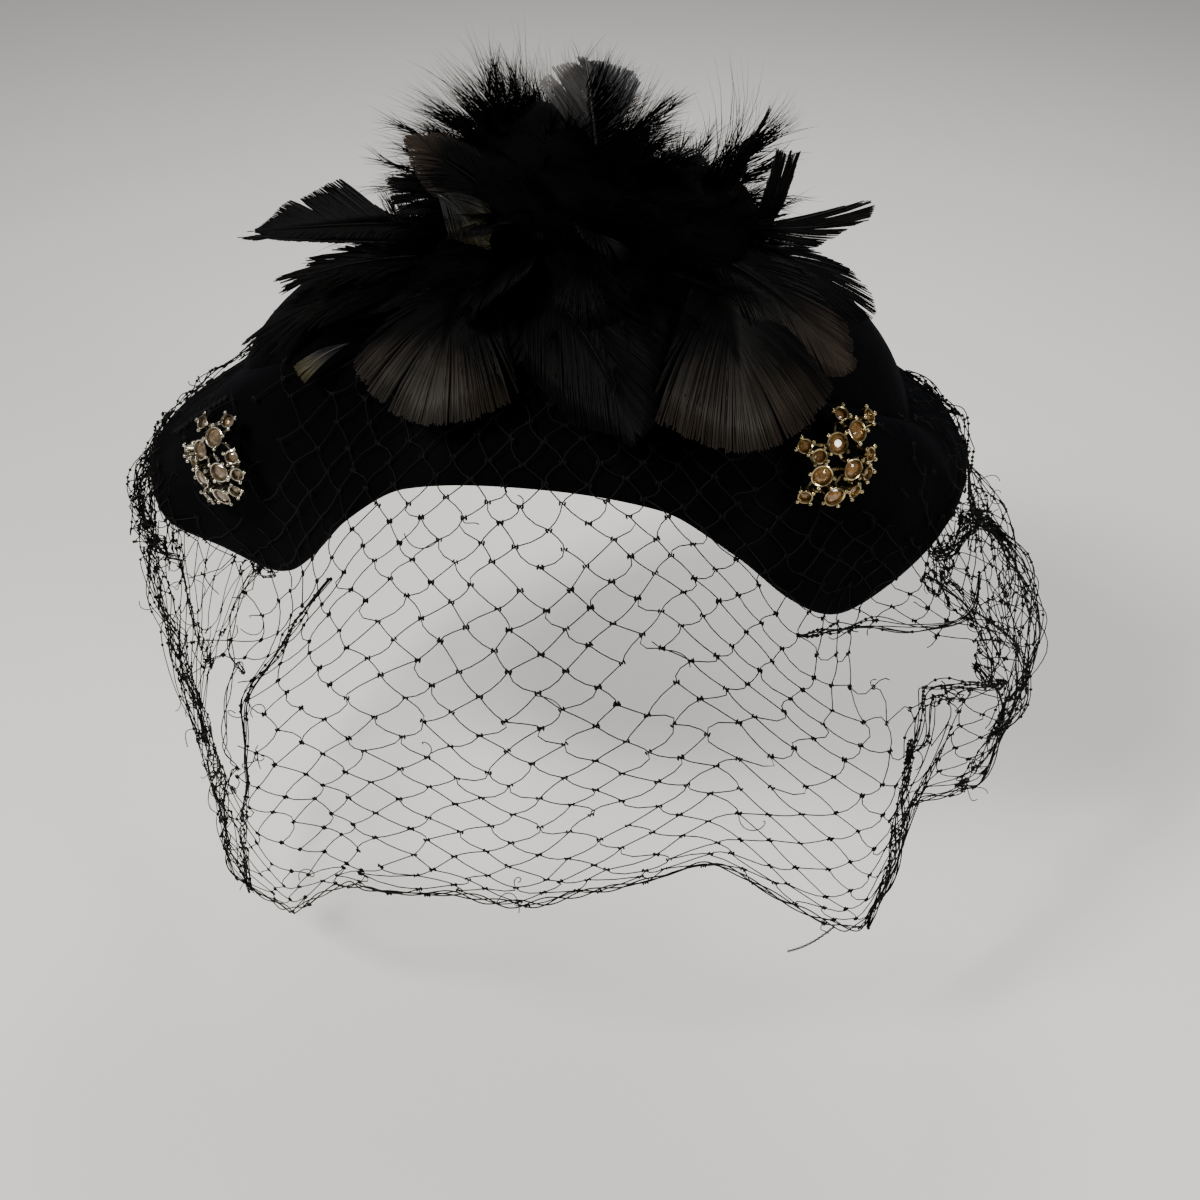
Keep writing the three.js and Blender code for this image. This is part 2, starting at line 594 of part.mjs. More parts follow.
function makeLock(root, direction, side, size) {
  const rings = [];
  const up = direction.clone().cross(side).normalize();
  for (let i = 0; i <= LOCK_STEPS; i += 1) {
    const t = i / LOCK_STEPS;
    const centre = root.clone().addScaledVector(direction, size.length * t);
    centre.z -= size.droop * t * t;
    const half = (size.width / 2) * (0.55 + 1.2 * t - 1.55 * t * t);
    const ring = [];
    for (let k = 0; k < LOCK_SIDES; k += 1) {
      const a = (2 * Math.PI * k) / LOCK_SIDES;
      ring.push(centre.clone().addScaledVector(side, half * Math.cos(a))
        .addScaledVector(up, half * LOCK_FLATNESS * Math.sin(a)));
    }
    rings.push(ring);
  }
  const tip = root.clone().addScaledVector(direction, size.length * LOCK_TIP_REACH);
  tip.z -= size.droop * LOCK_TIP_DROOP;
  return toSolid(ringBody(rings, [root, tip]));
}

function plumeLocks() {
  const random = seededRandom(7);
  const jitter = () => (random() - 0.5) * 2 * LOCK_SPREAD;
  const locks = [];
  for (const tier of LOCK_TIERS) {
    for (let i = 0; i < tier.count; i += 1) {
      const azimuth = tier.from + ((tier.to - tier.from) * i) / (tier.count - 1) + jitter();
      const tilt = radians(tier.tilt + jitter());
      const flat = polar(azimuth, 1, 0);
      const direction = flat.clone().multiplyScalar(Math.cos(tilt)).setZ(Math.sin(tilt));
      const side = vector(0, 0, 1).cross(flat).normalize();
      const root = vector(tier.x, -6, tier.z).addScaledVector(flat, tier.width * 0.4);
      const length = tier.length * (0.88 + 0.24 * random());
      locks.push(makeLock(root, direction, side, { length, width: tier.width, droop: tier.droop }));
    }
  }
  return locks;
}

function makeMound(mound) {
  const geometry = new THREE.SphereGeometry(1, MOUND_SIDES, MOUND_RINGS);
  geometry.rotateX(Math.PI / 2);
  geometry.scale(mound.wide, mound.deep, mound.high);
  geometry.translate(mound.x, mound.y, mound.z);
  return toSolid(geometry);
}

// Feathers

// Half of the vane's outline: how wide it is at a share of its length
function vaneWidth(end, t) {
  const grow = Math.min(1, 0.25 + 1.5 * t);
  if (end === 'cut') return grow;
  if (end === 'fan') return Math.min(1, 0.12 + 1.15 * t);
  return grow * Math.sqrt(Math.max(0, 1 - ((t - 0.45) / 0.62) ** 2 * (t > 0.45 ? 1 : 0)));
}

// Flat feather: its corners, the triangles between them and the way round its rim.
// Pairs of corners run up the vane to a row that splits into the fingers of its end.
function flatFeather(feather, length, margin) {
  const corners = [];
  const corner = (x, y) => corners.push([x, y]) - 1;
  const left = [];
  const right = [];
  for (let i = 0; i < FEATHER_STATIONS; i += 1) {
    const t = (i / FEATHER_STATIONS) * FEATHER_SOLID_SHARE;
    const width = Math.max(FEATHER_QUILL_WIDTH, feather.width * vaneWidth(feather.end, t)) / 2 + margin;
    const x = i ? length * t : -margin;
    left.push(corner(x, width));
    right.push(corner(x, -width));
  }
  const split = length * FEATHER_SOLID_SHARE + margin;
  const half = (feather.width * vaneWidth(feather.end, FEATHER_SOLID_SHARE)) / 2 + margin;
  const base = [];
  const tips = [];
  for (let i = 0; i <= feather.fingers; i += 1) {
    base.push(corner(split, half * (1 - (2 * i) / feather.fingers)));
  }
  for (let i = 0; i < feather.fingers; i += 1) {
    const middle = 1 - (2 * i + 1) / feather.fingers;
    const bow = feather.end === 'cut' ? 1 : 1 - 0.8 * middle * middle;
    const x = split + length * (1 - FEATHER_SOLID_SHARE) * bow;
    const spread = (half / feather.fingers) * (feather.end === 'cut' ? 0.85 : 0.78) + margin / 2;
    tips.push([corner(x, middle * half * 1.08 + spread), corner(x, middle * half * 1.08 - spread)]);
  }
  const faces = [];
  const quad = (a, b, c, d) => faces.push([a, b, c], [a, c, d]);
  const top = FEATHER_STATIONS - 1;
  for (let i = 0; i < top; i += 1) quad(left[i], right[i], right[i + 1], left[i + 1]);
  faces.push([left[top], right[top], base[feather.fingers]]);
  const rim = [...right, base[feather.fingers]];
  for (let i = feather.fingers - 1; i >= 0; i -= 1) {
    faces.push([left[top], base[i + 1], base[i]]);
    quad(base[i], base[i + 1], tips[i][1], tips[i][0]);
    rim.push(tips[i][1], tips[i][0], base[i]);
  }
  rim.push(...left.reverse());
  return { corners, faces, rim };
}

// Feather bent along its quill and cupped across it, grown all round by a margin
function makeFeather(feather, margin) {
  const root = vector(...feather.root);
  const tip = vector(...feather.tip);
  const middle = root.clone().lerp(tip, 0.5);
  middle.z += feather.lift * 2;
  const quill = new THREE.QuadraticBezierCurve3(root, middle, tip);
  const length = root.distanceTo(tip);
  const face = vector(...feather.face);
  const { corners, faces, rim } = flatFeather(feather, length, margin);
  const bend = ([x, y], height) => {
    const t = THREE.MathUtils.clamp(x / length, 0, 1);
    const along = quill.getTangent(t);
    const side = face.clone().cross(along).normalize();
    const up = along.clone().cross(side);
    return quill.getPoint(t).addScaledVector(along, x - t * length).addScaledVector(side, y)
      .addScaledVector(up, height - FEATHER_CUP * y * y);
  };
  const half = FEATHER_THICKNESS / 2 + margin;
  const points = [...corners.map((c) => bend(c, half)), ...corners.map((c) => bend(c, -half))];
  const count = corners.length;
  const index = faces.flatMap(([a, b, c]) => [a, b, c, a + count, c + count, b + count]);
  rim.forEach((a, i) => {
    const b = rim[(i + 1) % rim.length];
    index.push(a, a + count, b + count, a, b + count, b);
  });
  const geometry = new THREE.BufferGeometry().setFromPoints(points);
  geometry.setIndex(index);
  return toSolid(geometry);
}

// Brooches

function domeHeight(x, y) {
  return DOME_TOP - (x * x + y * y) / (2 * DOME_RADIUS);
}

// Frame of a cup on the dome: leaning out with its distance from the middle
function cupMatrix(cup) {
  const lean = Math.hypot(cup.x, cup.y) / DOME_LEAN_RADIUS;
  const axis = vector(-cup.y, cup.x, 0).normalize();
  const turn = new THREE.Quaternion().setFromAxisAngle(axis, lean);
  const place = vector(cup.x, cup.y, domeHeight(cup.x, cup.y));
  return new THREE.Matrix4().compose(place, turn, vector(1, 1, 1));
}

function upright(radius, height, sides, baseZ) {
  const post = new THREE.CylinderGeometry(radius, radius, height, sides);
  post.rotateX(Math.PI / 2);
  post.translate(0, 0, baseZ + height / 2);
  return post;
}

function makePlate() {
  const profile = [];
  for (let i = 0; i <= PLATE_STEPS; i += 1) {
    const r = (PLATE_RADIUS * i) / PLATE_STEPS;
    profile.push(new THREE.Vector2(r, domeHeight(r, 0)));
  }
  for (let i = PLATE_STEPS; i >= 0; i -= 1) {
    const r = ((PLATE_RADIUS - PLATE_THICKNESS) * i) / PLATE_STEPS;
    profile.push(new THREE.Vector2(r, domeHeight(r, 0) - PLATE_THICKNESS));
  }
  const plate = new THREE.LatheGeometry(profile, PLATE_SIDES);
  plate.rotateX(Math.PI / 2);
  return toSolid(plate);
}

function makeSetting() {
  let metal = makePlate();
  for (const hole of PIERCINGS) {
    const cut = upright(hole.radius, PIERCING_DEPTH, PIERCING_SIDES, -PIERCING_DEPTH / 2);
    cut.translate(hole.x, hole.y, 0);
    metal = metal.subtract(toSolid(cut));
  }
  for (const cup of CUPS) {
    const outer = STONE_RADIUS[cup.size] + CUP_WALL;
    const wall = upright(outer, CUP_HEIGHT, CUP_SIDES, -PLATE_THICKNESS / 2);
    metal = metal.add(toSolid(wall.applyMatrix4(cupMatrix(cup))));
  }
  for (const cup of CUPS) {
    const rimZ = CUP_HEIGHT - PLATE_THICKNESS / 2;
    const inner = STONE_RADIUS[cup.size] + CUP_WALL * 0.35;
    const recess = upright(inner, CUP_RECESS * 2, CUP_SIDES, rimZ - CUP_RECESS);
    metal = metal.subtract(toSolid(recess.applyMatrix4(cupMatrix(cup))));
  }
  return toGeometry(largestBody(metal));
}

// Cut stone: a flat table, a ring of crown facets and a pavilion of as many to the point
function makeStone(radius) {
  const profile = [
    new THREE.Vector2(0, -radius * STONE_DEPTH),
    new THREE.Vector2(radius, 0),
    new THREE.Vector2(radius * STONE_TABLE, radius * STONE_TOP),
    new THREE.Vector2(0, radius * STONE_TOP),
  ];
  const stone = new THREE.LatheGeometry(profile, STONE_SIDES);
  stone.rotateX(Math.PI / 2);
  return closed(stone);
}

function makeBrooch(brooch) {
  const group = new THREE.Group();
  const out = brimNormal(brooch.azimuth, brooch.share);
  const place = brimPoint(brimCurve(brooch.azimuth), brooch.azimuth, brooch.share, 0);
  place.addScaledVector(out, BROOCH_LIFT);
  const across = vector(0, 0, 1).cross(out).normalize();
  const up = out.clone().cross(across);
  group.quaternion.setFromRotationMatrix(new THREE.Matrix4().makeBasis(across, up, out));
  group.quaternion.multiply(
    new THREE.Quaternion().setFromAxisAngle(vector(0, 0, 1), radians(brooch.turn)),
  );
  group.position.copy(place);
  addMesh(group, `${brooch.name}_setting`, makeSetting(), MATERIALS[brooch.tone]);
  const stoneTone = brooch.tone === 'gold' ? 'amber' : 'champagne';
  for (const cup of CUPS) {
    const radius = STONE_RADIUS[cup.size];
    const stone = makeStone(radius);
    const floor = CUP_HEIGHT - PLATE_THICKNESS / 2 - CUP_RECESS;
    stone.translate(0, 0, floor + radius * STONE_DEPTH + FIT_GAP);
    stone.applyMatrix4(cupMatrix(cup));
    addMesh(group, `${brooch.name}_stone_${cup.name}`, stone, MATERIALS[stoneTone]);
  }
  return group;
}

function addMesh(group, name, geometry, material) {
  const mesh = new THREE.Mesh(geometry, material);
  mesh.name = name;
  group.add(mesh);
}

function makePlume(group) {
  const space = crownBlock(CROWN_CLEARANCE).add(veilSpace());
  let taken = space;
  let core = joinAll([...MOUNDS.map(makeMound), ...plumeLocks()]).subtract(space);
  for (const feather of FEATHERS) {
    const blade = largestBody(makeFeather(feather, 0).subtract(taken));
    const room = makeFeather(feather, FEATHER_ROOM);
    core = core.subtract(room);
    taken = taken.add(room);
    addMesh(group, feather.name, toGeometry(blade), MATERIALS[feather.tone]);
  }
  addMesh(group, 'plume_core', toGeometry(largestBody(core)), MATERIALS.down);
}

const hat = new THREE.Group();
addMesh(hat, 'crown', makeCrown(), MATERIALS.velvet);
addMesh(hat, 'brim', makeBrim(), MATERIALS.velvet);
const brooches = BROOCHES.map(makeBrooch);
addMesh(hat, 'veil', makeVeil(brooches), MATERIALS.net);
makePlume(hat);
hat.add(...brooches);

export default hat;
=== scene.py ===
"""A black velvet half hat with a feather plume, a netting veil and two cluster brooches.

Sizes are in millimetres and azimuths in degrees, 0 at the front and growing towards +X.
Every mesh is turned into metres when it is made.
"""
import logging
import math
from dataclasses import dataclass, field
from enum import Enum
from typing import Any, Callable, Sequence

import bmesh
import bpy
import numpy as np
from mathutils import Matrix, Vector, noise


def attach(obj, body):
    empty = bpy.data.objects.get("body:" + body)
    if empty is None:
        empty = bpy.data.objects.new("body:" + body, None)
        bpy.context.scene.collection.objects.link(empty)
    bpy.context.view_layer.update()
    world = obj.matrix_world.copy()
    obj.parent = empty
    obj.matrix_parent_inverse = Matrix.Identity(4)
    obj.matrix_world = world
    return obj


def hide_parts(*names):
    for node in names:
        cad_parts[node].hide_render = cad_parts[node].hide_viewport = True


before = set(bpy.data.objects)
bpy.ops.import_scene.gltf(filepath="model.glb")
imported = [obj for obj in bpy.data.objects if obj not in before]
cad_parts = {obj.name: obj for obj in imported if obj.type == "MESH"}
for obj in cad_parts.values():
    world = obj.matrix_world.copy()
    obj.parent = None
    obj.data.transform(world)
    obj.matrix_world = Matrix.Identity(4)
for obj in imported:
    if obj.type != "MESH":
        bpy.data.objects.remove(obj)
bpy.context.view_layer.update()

MILLIMETRE = 0.001
BODY = "root"
log = logging.getLogger("fascinator")
Array = np.ndarray


# Shader nodes


class Wire:
    """One output socket of a shader node, with the arithmetic of its values."""

    def __init__(self, bench: "Bench", socket: bpy.types.NodeSocket) -> None:
        """Wraps a socket.

        Args:
            bench: the node tree that the socket is in.
            socket: the output socket.
        """
        self.bench = bench
        self.socket = socket

    def _maths(self, operation: str, first: Any, second: Any) -> "Wire":
        """One Math node on two values or wires."""
        return self.bench.node("ShaderNodeMath", {"operation": operation}, {0: first, 1: second})

    def __add__(self, other: Any) -> "Wire":
        """Sum."""
        return self._maths("ADD", self, other)

    def __radd__(self, other: Any) -> "Wire":
        """Sum, reflected."""
        return self._maths("ADD", other, self)

    def __sub__(self, other: Any) -> "Wire":
        """Difference."""
        return self._maths("SUBTRACT", self, other)

    def __rsub__(self, other: Any) -> "Wire":
        """Difference, reflected."""
        return self._maths("SUBTRACT", other, self)

    def __mul__(self, other: Any) -> "Wire":
        """Product."""
        return self._maths("MULTIPLY", self, other)

    def __rmul__(self, other: Any) -> "Wire":
        """Product, reflected."""
        return self._maths("MULTIPLY", other, self)

    def clamp(self, low: float, high: float) -> "Wire":
        """Value kept between two bounds."""
        return self._maths("MINIMUM", self._maths("MAXIMUM", self, low), high)


class Bench:
    """The node tree of one material, and the one place where its nodes are made."""

    def __init__(self, name: str) -> None:
        """Starts a material with one Principled shader.

        Args:
            name: the material's name.
        """
        self.material = bpy.data.materials.new(name)
        self.material.use_nodes = True
        self.tree = self.material.node_tree
        self.tree.nodes.clear()
        self.shader = self.tree.nodes.new("ShaderNodeBsdfPrincipled")
        output = self.tree.nodes.new("ShaderNodeOutputMaterial")
        self.tree.links.new(self.shader.outputs["BSDF"], output.inputs["Surface"])

    def node(self, kind: str, settings: dict[str, Any], inputs: dict[Any, Any], out: Any = 0) -> Wire:
        """Makes one node.

        Args:
            kind: the node's type.
            settings: its properties.
            inputs: the values or wires of its sockets, by name or number.
            out: the output that is wanted.

        Returns:
            The wire of that output.
        """
        made = self.tree.nodes.new(kind)
        for key, value in settings.items():
            setattr(made, key, value)
        for key, value in inputs.items():
            self._feed(made.inputs[key], value)
        return Wire(self, made.outputs[out])

    def _feed(self, socket: bpy.types.NodeSocket, value: Any) -> None:
        """Links a wire to a socket, or sets its value.

        Args:
            socket: the input socket.
            value: a wire, or the socket's own value.
        """
        if isinstance(value, Wire):
            self.tree.links.new(value.socket, socket)
        else:
            socket.default_value = value

    def shade(self, **inputs: Any) -> bpy.types.Material:
        """Feeds the Principled shader and ends the material.

        Args:
            inputs: its sockets, with _ for each space in a name.

        Returns:
            The material.
        """
        for key, value in inputs.items():
            self._feed(self.shader.inputs[key.replace("_", " ")], value)
        return self.material

    def place(self) -> Wire:
        """Object coordinates."""
        return self.node("ShaderNodeTexCoord", {}, {}, "Object")

    def fibre(self) -> tuple[Wire, Wire]:
        """The piece's own map: the share along its strand, and each strand's own number.

        Returns:
            The wires of both.
        """
        split = self.node("ShaderNodeUVMap", {"uv_map": "fibre"}, {})
        both = self.node("ShaderNodeSeparateXYZ", {}, {0: split})
        return both, Wire(self, both.socket.node.outputs[1])

    def grain(self, scale: float, detail: float = 2.0, vector: Any = None) -> Wire:
        """Noise of a scale per metre, from 0 to 1."""
        inputs = {"Vector": vector or self.place(), "Scale": scale, "Detail": detail}
        return self.node("ShaderNodeTexNoise", {}, inputs, "Fac")

    def blend(self, mask: Any, first: Sequence[float], second: Sequence[float]) -> Wire:
        """Colour between two by a mask."""
        inputs = {0: mask, 6: self._colour(first), 7: self._colour(second)}
        return self.node("ShaderNodeMix", {"data_type": "RGBA"}, inputs, 2)

    def _colour(self, value: Any) -> Any:
        """A wire as it is, or a colour with its alpha."""
        return value if isinstance(value, Wire) else (*value, 1.0)

    def relief(self, height: Wire, distance: float, strength: float = 1.0) -> Wire:
        """Bump from a height.

        Args:
            height: the height, from 0 to 1.
            distance: the height of 1, in millimetres.
            strength: how strong it is.

        Returns:
            The normal.
        """
        inputs = {"Height": height, "Distance": distance * MILLIMETRE, "Strength": strength}
        return self.node("ShaderNodeBump", {}, inputs)


# Finishes


@dataclass(frozen=True)
class VelvetFinish:
    """Silk velvet: black pile, crushed in patches that are lighter, bluer and smoother, partly the pile's own
    tone and partly painted sheen, with a cool sheen at its edges.
    """

    deep: tuple[float, float, float] = (0.0008, 0.0008, 0.0010)
    # lighter, bluer colour of the crushed patches: partly the pile's own tone, partly painted sheen
    brushed_tone_and_sheen: tuple[float, float, float] = (0.0024, 0.0025, 0.0033)
    sheen: float = 0.008
    sheen_roughness: float = 0.4
    sheen_tint: tuple[float, float, float] = (0.62, 0.68, 0.95)

    def material(self) -> bpy.types.Material:
        """Makes the material.

        Returns:
            The material.
        """
        bench = Bench("velvet")
        # patches of crushed pile: partly their own tone and partly painted sheen, and smoother too
        brushed_tone_and_sheen = (bench.grain(28, 3) - 0.42) * 3.4
        patch = brushed_tone_and_sheen.clamp(0.0, 1.0)
        pile = bench.grain(2600, 2) * 0.35 + bench.grain(900, 2) * 0.3 + bench.grain(95, 3) * 1.6
        return bench.shade(
            Base_Color=bench.blend(patch, self.deep, self.brushed_tone_and_sheen),
            Roughness=0.93 - patch * 0.14,
            Normal=bench.relief(pile, 0.5, 0.75),
            Specular_IOR_Level=0.03,
            Sheen_Weight=self.sheen,
            Sheen_Roughness=self.sheen_roughness,
            Sheen_Tint=(*self.sheen_tint, 1.0),
        )


@dataclass(frozen=True)
class ThreadFinish:
    """Twisted silk or rayon thread of the netting and the stitches."""

    name: str = "net_thread"
    colour: tuple[float, float, float] = (0.0022, 0.0021, 0.0022)
    worn: tuple[float, float, float] = (0.006, 0.0055, 0.005)

    def material(self) -> bpy.types.Material:
        """Makes the material.

        Returns:
            The material.
        """
        bench = Bench(self.name)
        worn = bench.grain(220, 2)
        return bench.shade(
            Base_Color=bench.blend(worn, self.colour, self.worn),
            Roughness=worn * 0.25 + 0.55,
            Normal=bench.relief(bench.grain(5200, 1), 0.05, 0.6),
            Specular_IOR_Level=0.09,
        )


@dataclass(frozen=True)
class FeatherFinish:
    """Horny gloss of barbs: black at the quill, partly their own colour and partly painted shade where the
    mass covers the roots, with a satin tint that grows towards the tips.
    """

    name: str
    # colour at the quill: partly the barbs' own dark colour, partly painted shade where the mass covers the
    # roots
    root: tuple[float, float, float]
    warm: tuple[float, float, float]
    cool: tuple[float, float, float]
    cloud: float = 55.0
    gloss: float = 0.42
    specular: float = 0.35
    # start and rise: where along the barb the painted shade at the roots gives way to the tint, and how fast
    start: float = 0.45
    rise: float = 1.5
    lean: float = 0.0
    sink: float = 0.0

    def material(self) -> bpy.types.Material:
        """Makes the material.

        Returns:
            The material.
        """
        bench = Bench(self.name)
        along, own = bench.fibre()
        clouds = (bench.grain(self.cloud, 3) - 0.4) * 2.0
        # dark towards the quill: partly the barbs' own colour, partly painted shade from the mass over the
        # roots
        tips = (along - self.start) * self.rise + (own - 0.5) * 0.5 + (clouds - 0.2) * 0.6
        right, high = (bench.node("ShaderNodeSeparateXYZ", {}, {0: bench.place()}, axis) for axis in "XZ")
        side = (bench.grain(self.cloud * 0.8, 1) - 0.42) * 6 - right * self.lean - high * self.sink
        side = side.clamp(0.0, 1.0)
        tint = bench.blend(side, self.warm, self.cool)
        return bench.shade(
            Base_Color=bench.blend(tips.clamp(0.0, 1.0), self.root, tint),
            Roughness=self.gloss + own * 0.14,
            Normal=bench.relief(bench.grain(3800, 1), 0.06, 0.5),
            Specular_IOR_Level=self.specular,
        )


@dataclass(frozen=True)
class MetalFinish:
    """Cast metal with a bright wash, and rougher near-black patches of painted shade, spread by noise rather
    than set in its hollows.
    """

    name: str
    bright: tuple[float, float, float]
    # painted shade: the near-black colour that stands in for shade and dark reflections in the hollows
    painted_shade: tuple[float, float, float]

    def material(self) -> bpy.types.Material:
        """Makes the material.

        Returns:
            The material.
        """
        bench = Bench(self.name)
        # mask of the painted shade: rougher near-black patches spread by noise, not by where the hollows are
        painted_shade = ((bench.grain(420, 4) - 0.5) * 3.2 + 0.35).clamp(0.0, 1.0)
        return bench.shade(
            Base_Color=bench.blend(painted_shade, self.bright, self.painted_shade),
            Metallic=1.0,
            Roughness=painted_shade * 0.2 + 0.1,
            Normal=bench.relief(bench.grain(1500, 3), 0.07, 0.6),
        )


@dataclass(frozen=True)
class StoneFinish:
    """Cut glass, tinted and clear."""

    name: str
    tint: tuple[float, float, float]
    smoke: tuple[float, float, float]

    def material(self) -> bpy.types.Material:
        """Makes the material.

        Returns:
            The material.
        """
        bench = Bench(self.name)
        cloud = ((bench.grain(620, 2) - 0.38) * 3).clamp(0.0, 1.0)
        return bench.shade(
            Base_Color=bench.blend(cloud, self.tint, self.smoke),
            Roughness=cloud * 0.06 + 0.03,
            Transmission_Weight=0.72,
            IOR=1.62,
            Coat_Weight=0.5,
            Coat_Roughness=0.05,
        )


@dataclass(frozen=True)
class FloorFinish:
    """Plain pale paper."""

    colour: tuple[float, float, float] = (0.92, 0.89, 0.845)

    def material(self) -> bpy.types.Material:
        """Makes the material.

        Returns:
            The material.
        """
        bench = Bench("floor")
        speck = bench.grain(14, 2)
        lighter = tuple(level * 1.03 for level in self.colour)
        return bench.shade(Base_Color=bench.blend(speck, self.colour, lighter), Roughness=0.85)


# Meshes from copies


class Pattern:
    """A small shape that is copied many times, kept as arrays."""

    def __init__(self, bm: bmesh.types.BMesh) -> None:
        """Takes the shape out of a bmesh and frees it.

        Args:
            bm: the shape.
        """
        bmesh.ops.recalc_face_normals(bm, faces=bm.faces[:])
        bm.verts.index_update()
        self.points = np.array([vert.co[:] for vert in bm.verts])
        self.corners = np.array([vert.index for face in bm.faces for vert in face.verts])
        self.sizes = np.array([len(face.verts) for face in bm.faces])
        bm.free()

    @classmethod
    def tube(cls, sides: int, rings: int, capped: bool, tip: float = 1.0) -> "Pattern":
        """A tube along Z with its rings at 0, 1, 2 and so on, of radius 1.

        Args:
            sides: the number of sides.
            rings: the number of rings.
            capped: whether its ends are closed.
            tip: the radius of its last ring, 0 for a point.

        Returns:
            The pattern.
        """
        bm = bmesh.new()
        length = rings - 1
        bmesh.ops.create_cone(bm, cap_ends=capped, cap_tris=False, segments=sides,
                              radius1=1, radius2=tip, depth=length,
                              matrix=Matrix.Translation((0, 0, length / 2)))
        for ring in range(1, length):
            bmesh.ops.bisect_plane(bm, geom=bm.verts[:] + bm.edges[:] + bm.faces[:],
                                   plane_co=(0, 0, ring), plane_no=(0, 0, 1))
        bmesh.ops.remove_doubles(bm, verts=bm.verts[:], dist=1e-4)
        return cls(bm)

    @classmethod
    def bead(cls, around: int, down: int) -> "Pattern":
        """A ball of radius 1.

        Args:
            around: the steps round it.
            down: the steps from pole to pole.

        Returns:
            The pattern.
        """
        bm = bmesh.new()
        bmesh.ops.create_uvsphere(bm, u_segments=around, v_segments=down, radius=1)
        return cls(bm)

    @classmethod
    def turned(cls, profile: Sequence[tuple[float, float]], steps: int) -> "Pattern":
        """A shape turned round Z.

        Args:
            profile: its section, as radius and height.
            steps: the steps of the whole turn.

        Returns:
            The pattern.
        """
        bm = bmesh.new()
        verts = [bm.verts.new((radius, 0, height)) for radius, height in profile]
        edges = [bm.edges.new(pair) for pair in zip(verts, verts[1:])]
        bmesh.ops.spin(bm, geom=verts + edges, cent=(0, 0, 0), axis=(0, 0, 1), angle=math.tau,
                       steps=steps, use_merge=True, use_duplicate=False)
        bmesh.ops.remove_doubles(bm, verts=bm.verts[:], dist=1e-5)
        return cls(bm)

    @classmethod
    def hull(cls, points: Sequence[tuple[float, float, float]]) -> "Pattern":
        """The flat-faceted shape round a set of points.

        Args:
            points: the points.

        Returns:
            The pattern.
        """
        bm = bmesh.new()
        verts = [bm.verts.new(point) for point in points]
        bmesh.ops.convex_hull(bm, input=verts)
        return cls(bm)


class Bundle:
    """Copies of patterns, joined into one mesh."""

    def __init__(self) -> None:
        """Starts empty."""
        self.points: list[Array] = []
        self.corners: list[Array] = []
        self.sizes: list[Array] = []
        self.fibres: list[Array] = []
        self.count = 0

    def add(self, pattern: Pattern, points: Array, fibre: Array | None = None) -> None:
        """Adds copies of a pattern.

        Args:
            pattern: the shape.
            points: the corners of each copy, as copies x corners x 3.
            fibre: the map of each corner, as copies x corners x 2.
        """
        copies, corners = points.shape[:2]
        shift = self.count + np.arange(copies)[:, None] * corners
        self.points.append(points.reshape(-1, 3))
        self.corners.append((pattern.corners[None] + shift).reshape(-1))
        self.sizes.append(np.tile(pattern.sizes, copies))
        self.fibres.append(np.zeros((copies * corners, 2)) if fibre is None else fibre.reshape(-1, 2))
        self.count += copies * corners

    def place(self, pattern: Pattern, frames: Array) -> None:
        """Adds copies of a pattern, one for each 4 x 4 matrix."""
        points = np.einsum("nij,vj->nvi", frames[:, :3, :3], pattern.points) + frames[:, None, :3, 3]
        self.add(pattern, points)

    def strands(self, pattern: Pattern, centres: Array, across: Array, up: Array,
                wide: Array, thick: Array, own: Array, along: Array | None = None) -> None:
        """Adds a tube along each of many paths.

        Args:
            pattern: the tube, with as many rings as a path has points.
            centres: the paths, as strands x rings x 3.
            across: the direction of each ring's width.
            up: the direction of each ring's thickness.
            wide: half the width at each ring.
            thick: half the thickness at each ring.
            own: a number of its own for each strand, for its colour.
            along: the share at each ring that the finish reads, or the share of the strand itself.
        """
        ring = np.rint(pattern.points[:, 2]).astype(int)
        points = (centres[:, ring]
                  + across[:, ring] * (wide[:, ring] * pattern.points[:, 0])[..., None]
                  + up[:, ring] * (thick[:, ring] * pattern.points[:, 1])[..., None])
        share = np.broadcast_to(ring / ring.max(), points.shape[:2]) if along is None else along[:, ring]
        self.add(pattern, points, np.stack([share, np.broadcast_to(own[:, None], share.shape)], -1))

    def build(self, name: str, material: bpy.types.Material, smooth: bool = True,
              crease: float | None = None) -> bpy.types.Object:
        """Makes the object, at the origin and in metres.

        Args:
            name: its name.
            material: its finish.
            smooth: whether it is shaded smooth.
            crease: the angle past which an edge stays sharp.

        Returns:
            The object.
        """
        points = np.concatenate(self.points) * MILLIMETRE
        corners = np.concatenate(self.corners)
        sizes = np.concatenate(self.sizes)
        fibre = np.concatenate(self.fibres)
        mesh = bpy.data.meshes.new(name)
        mesh.vertices.add(len(points))
        mesh.vertices.foreach_set("co", points.astype(np.float32).ravel())
        mesh.loops.add(len(corners))
        mesh.loops.foreach_set("vertex_index", corners.astype(np.int32))
        mesh.polygons.add(len(sizes))
        starts = np.concatenate([[0], np.cumsum(sizes)[:-1]])
        mesh.polygons.foreach_set("loop_start", starts.astype(np.int32))
        mesh.update(calc_edges=True)
        mesh.polygons.foreach_set("use_smooth", np.full(len(sizes), smooth))
        layer = mesh.uv_layers.new(name="fibre")
        layer.data.foreach_set("uv", fibre[corners].astype(np.float32).ravel())
        if crease is not None:
            mesh.set_sharp_from_angle(angle=math.radians(crease))
        mesh.validate()
        return dressed(mesh, name, material)


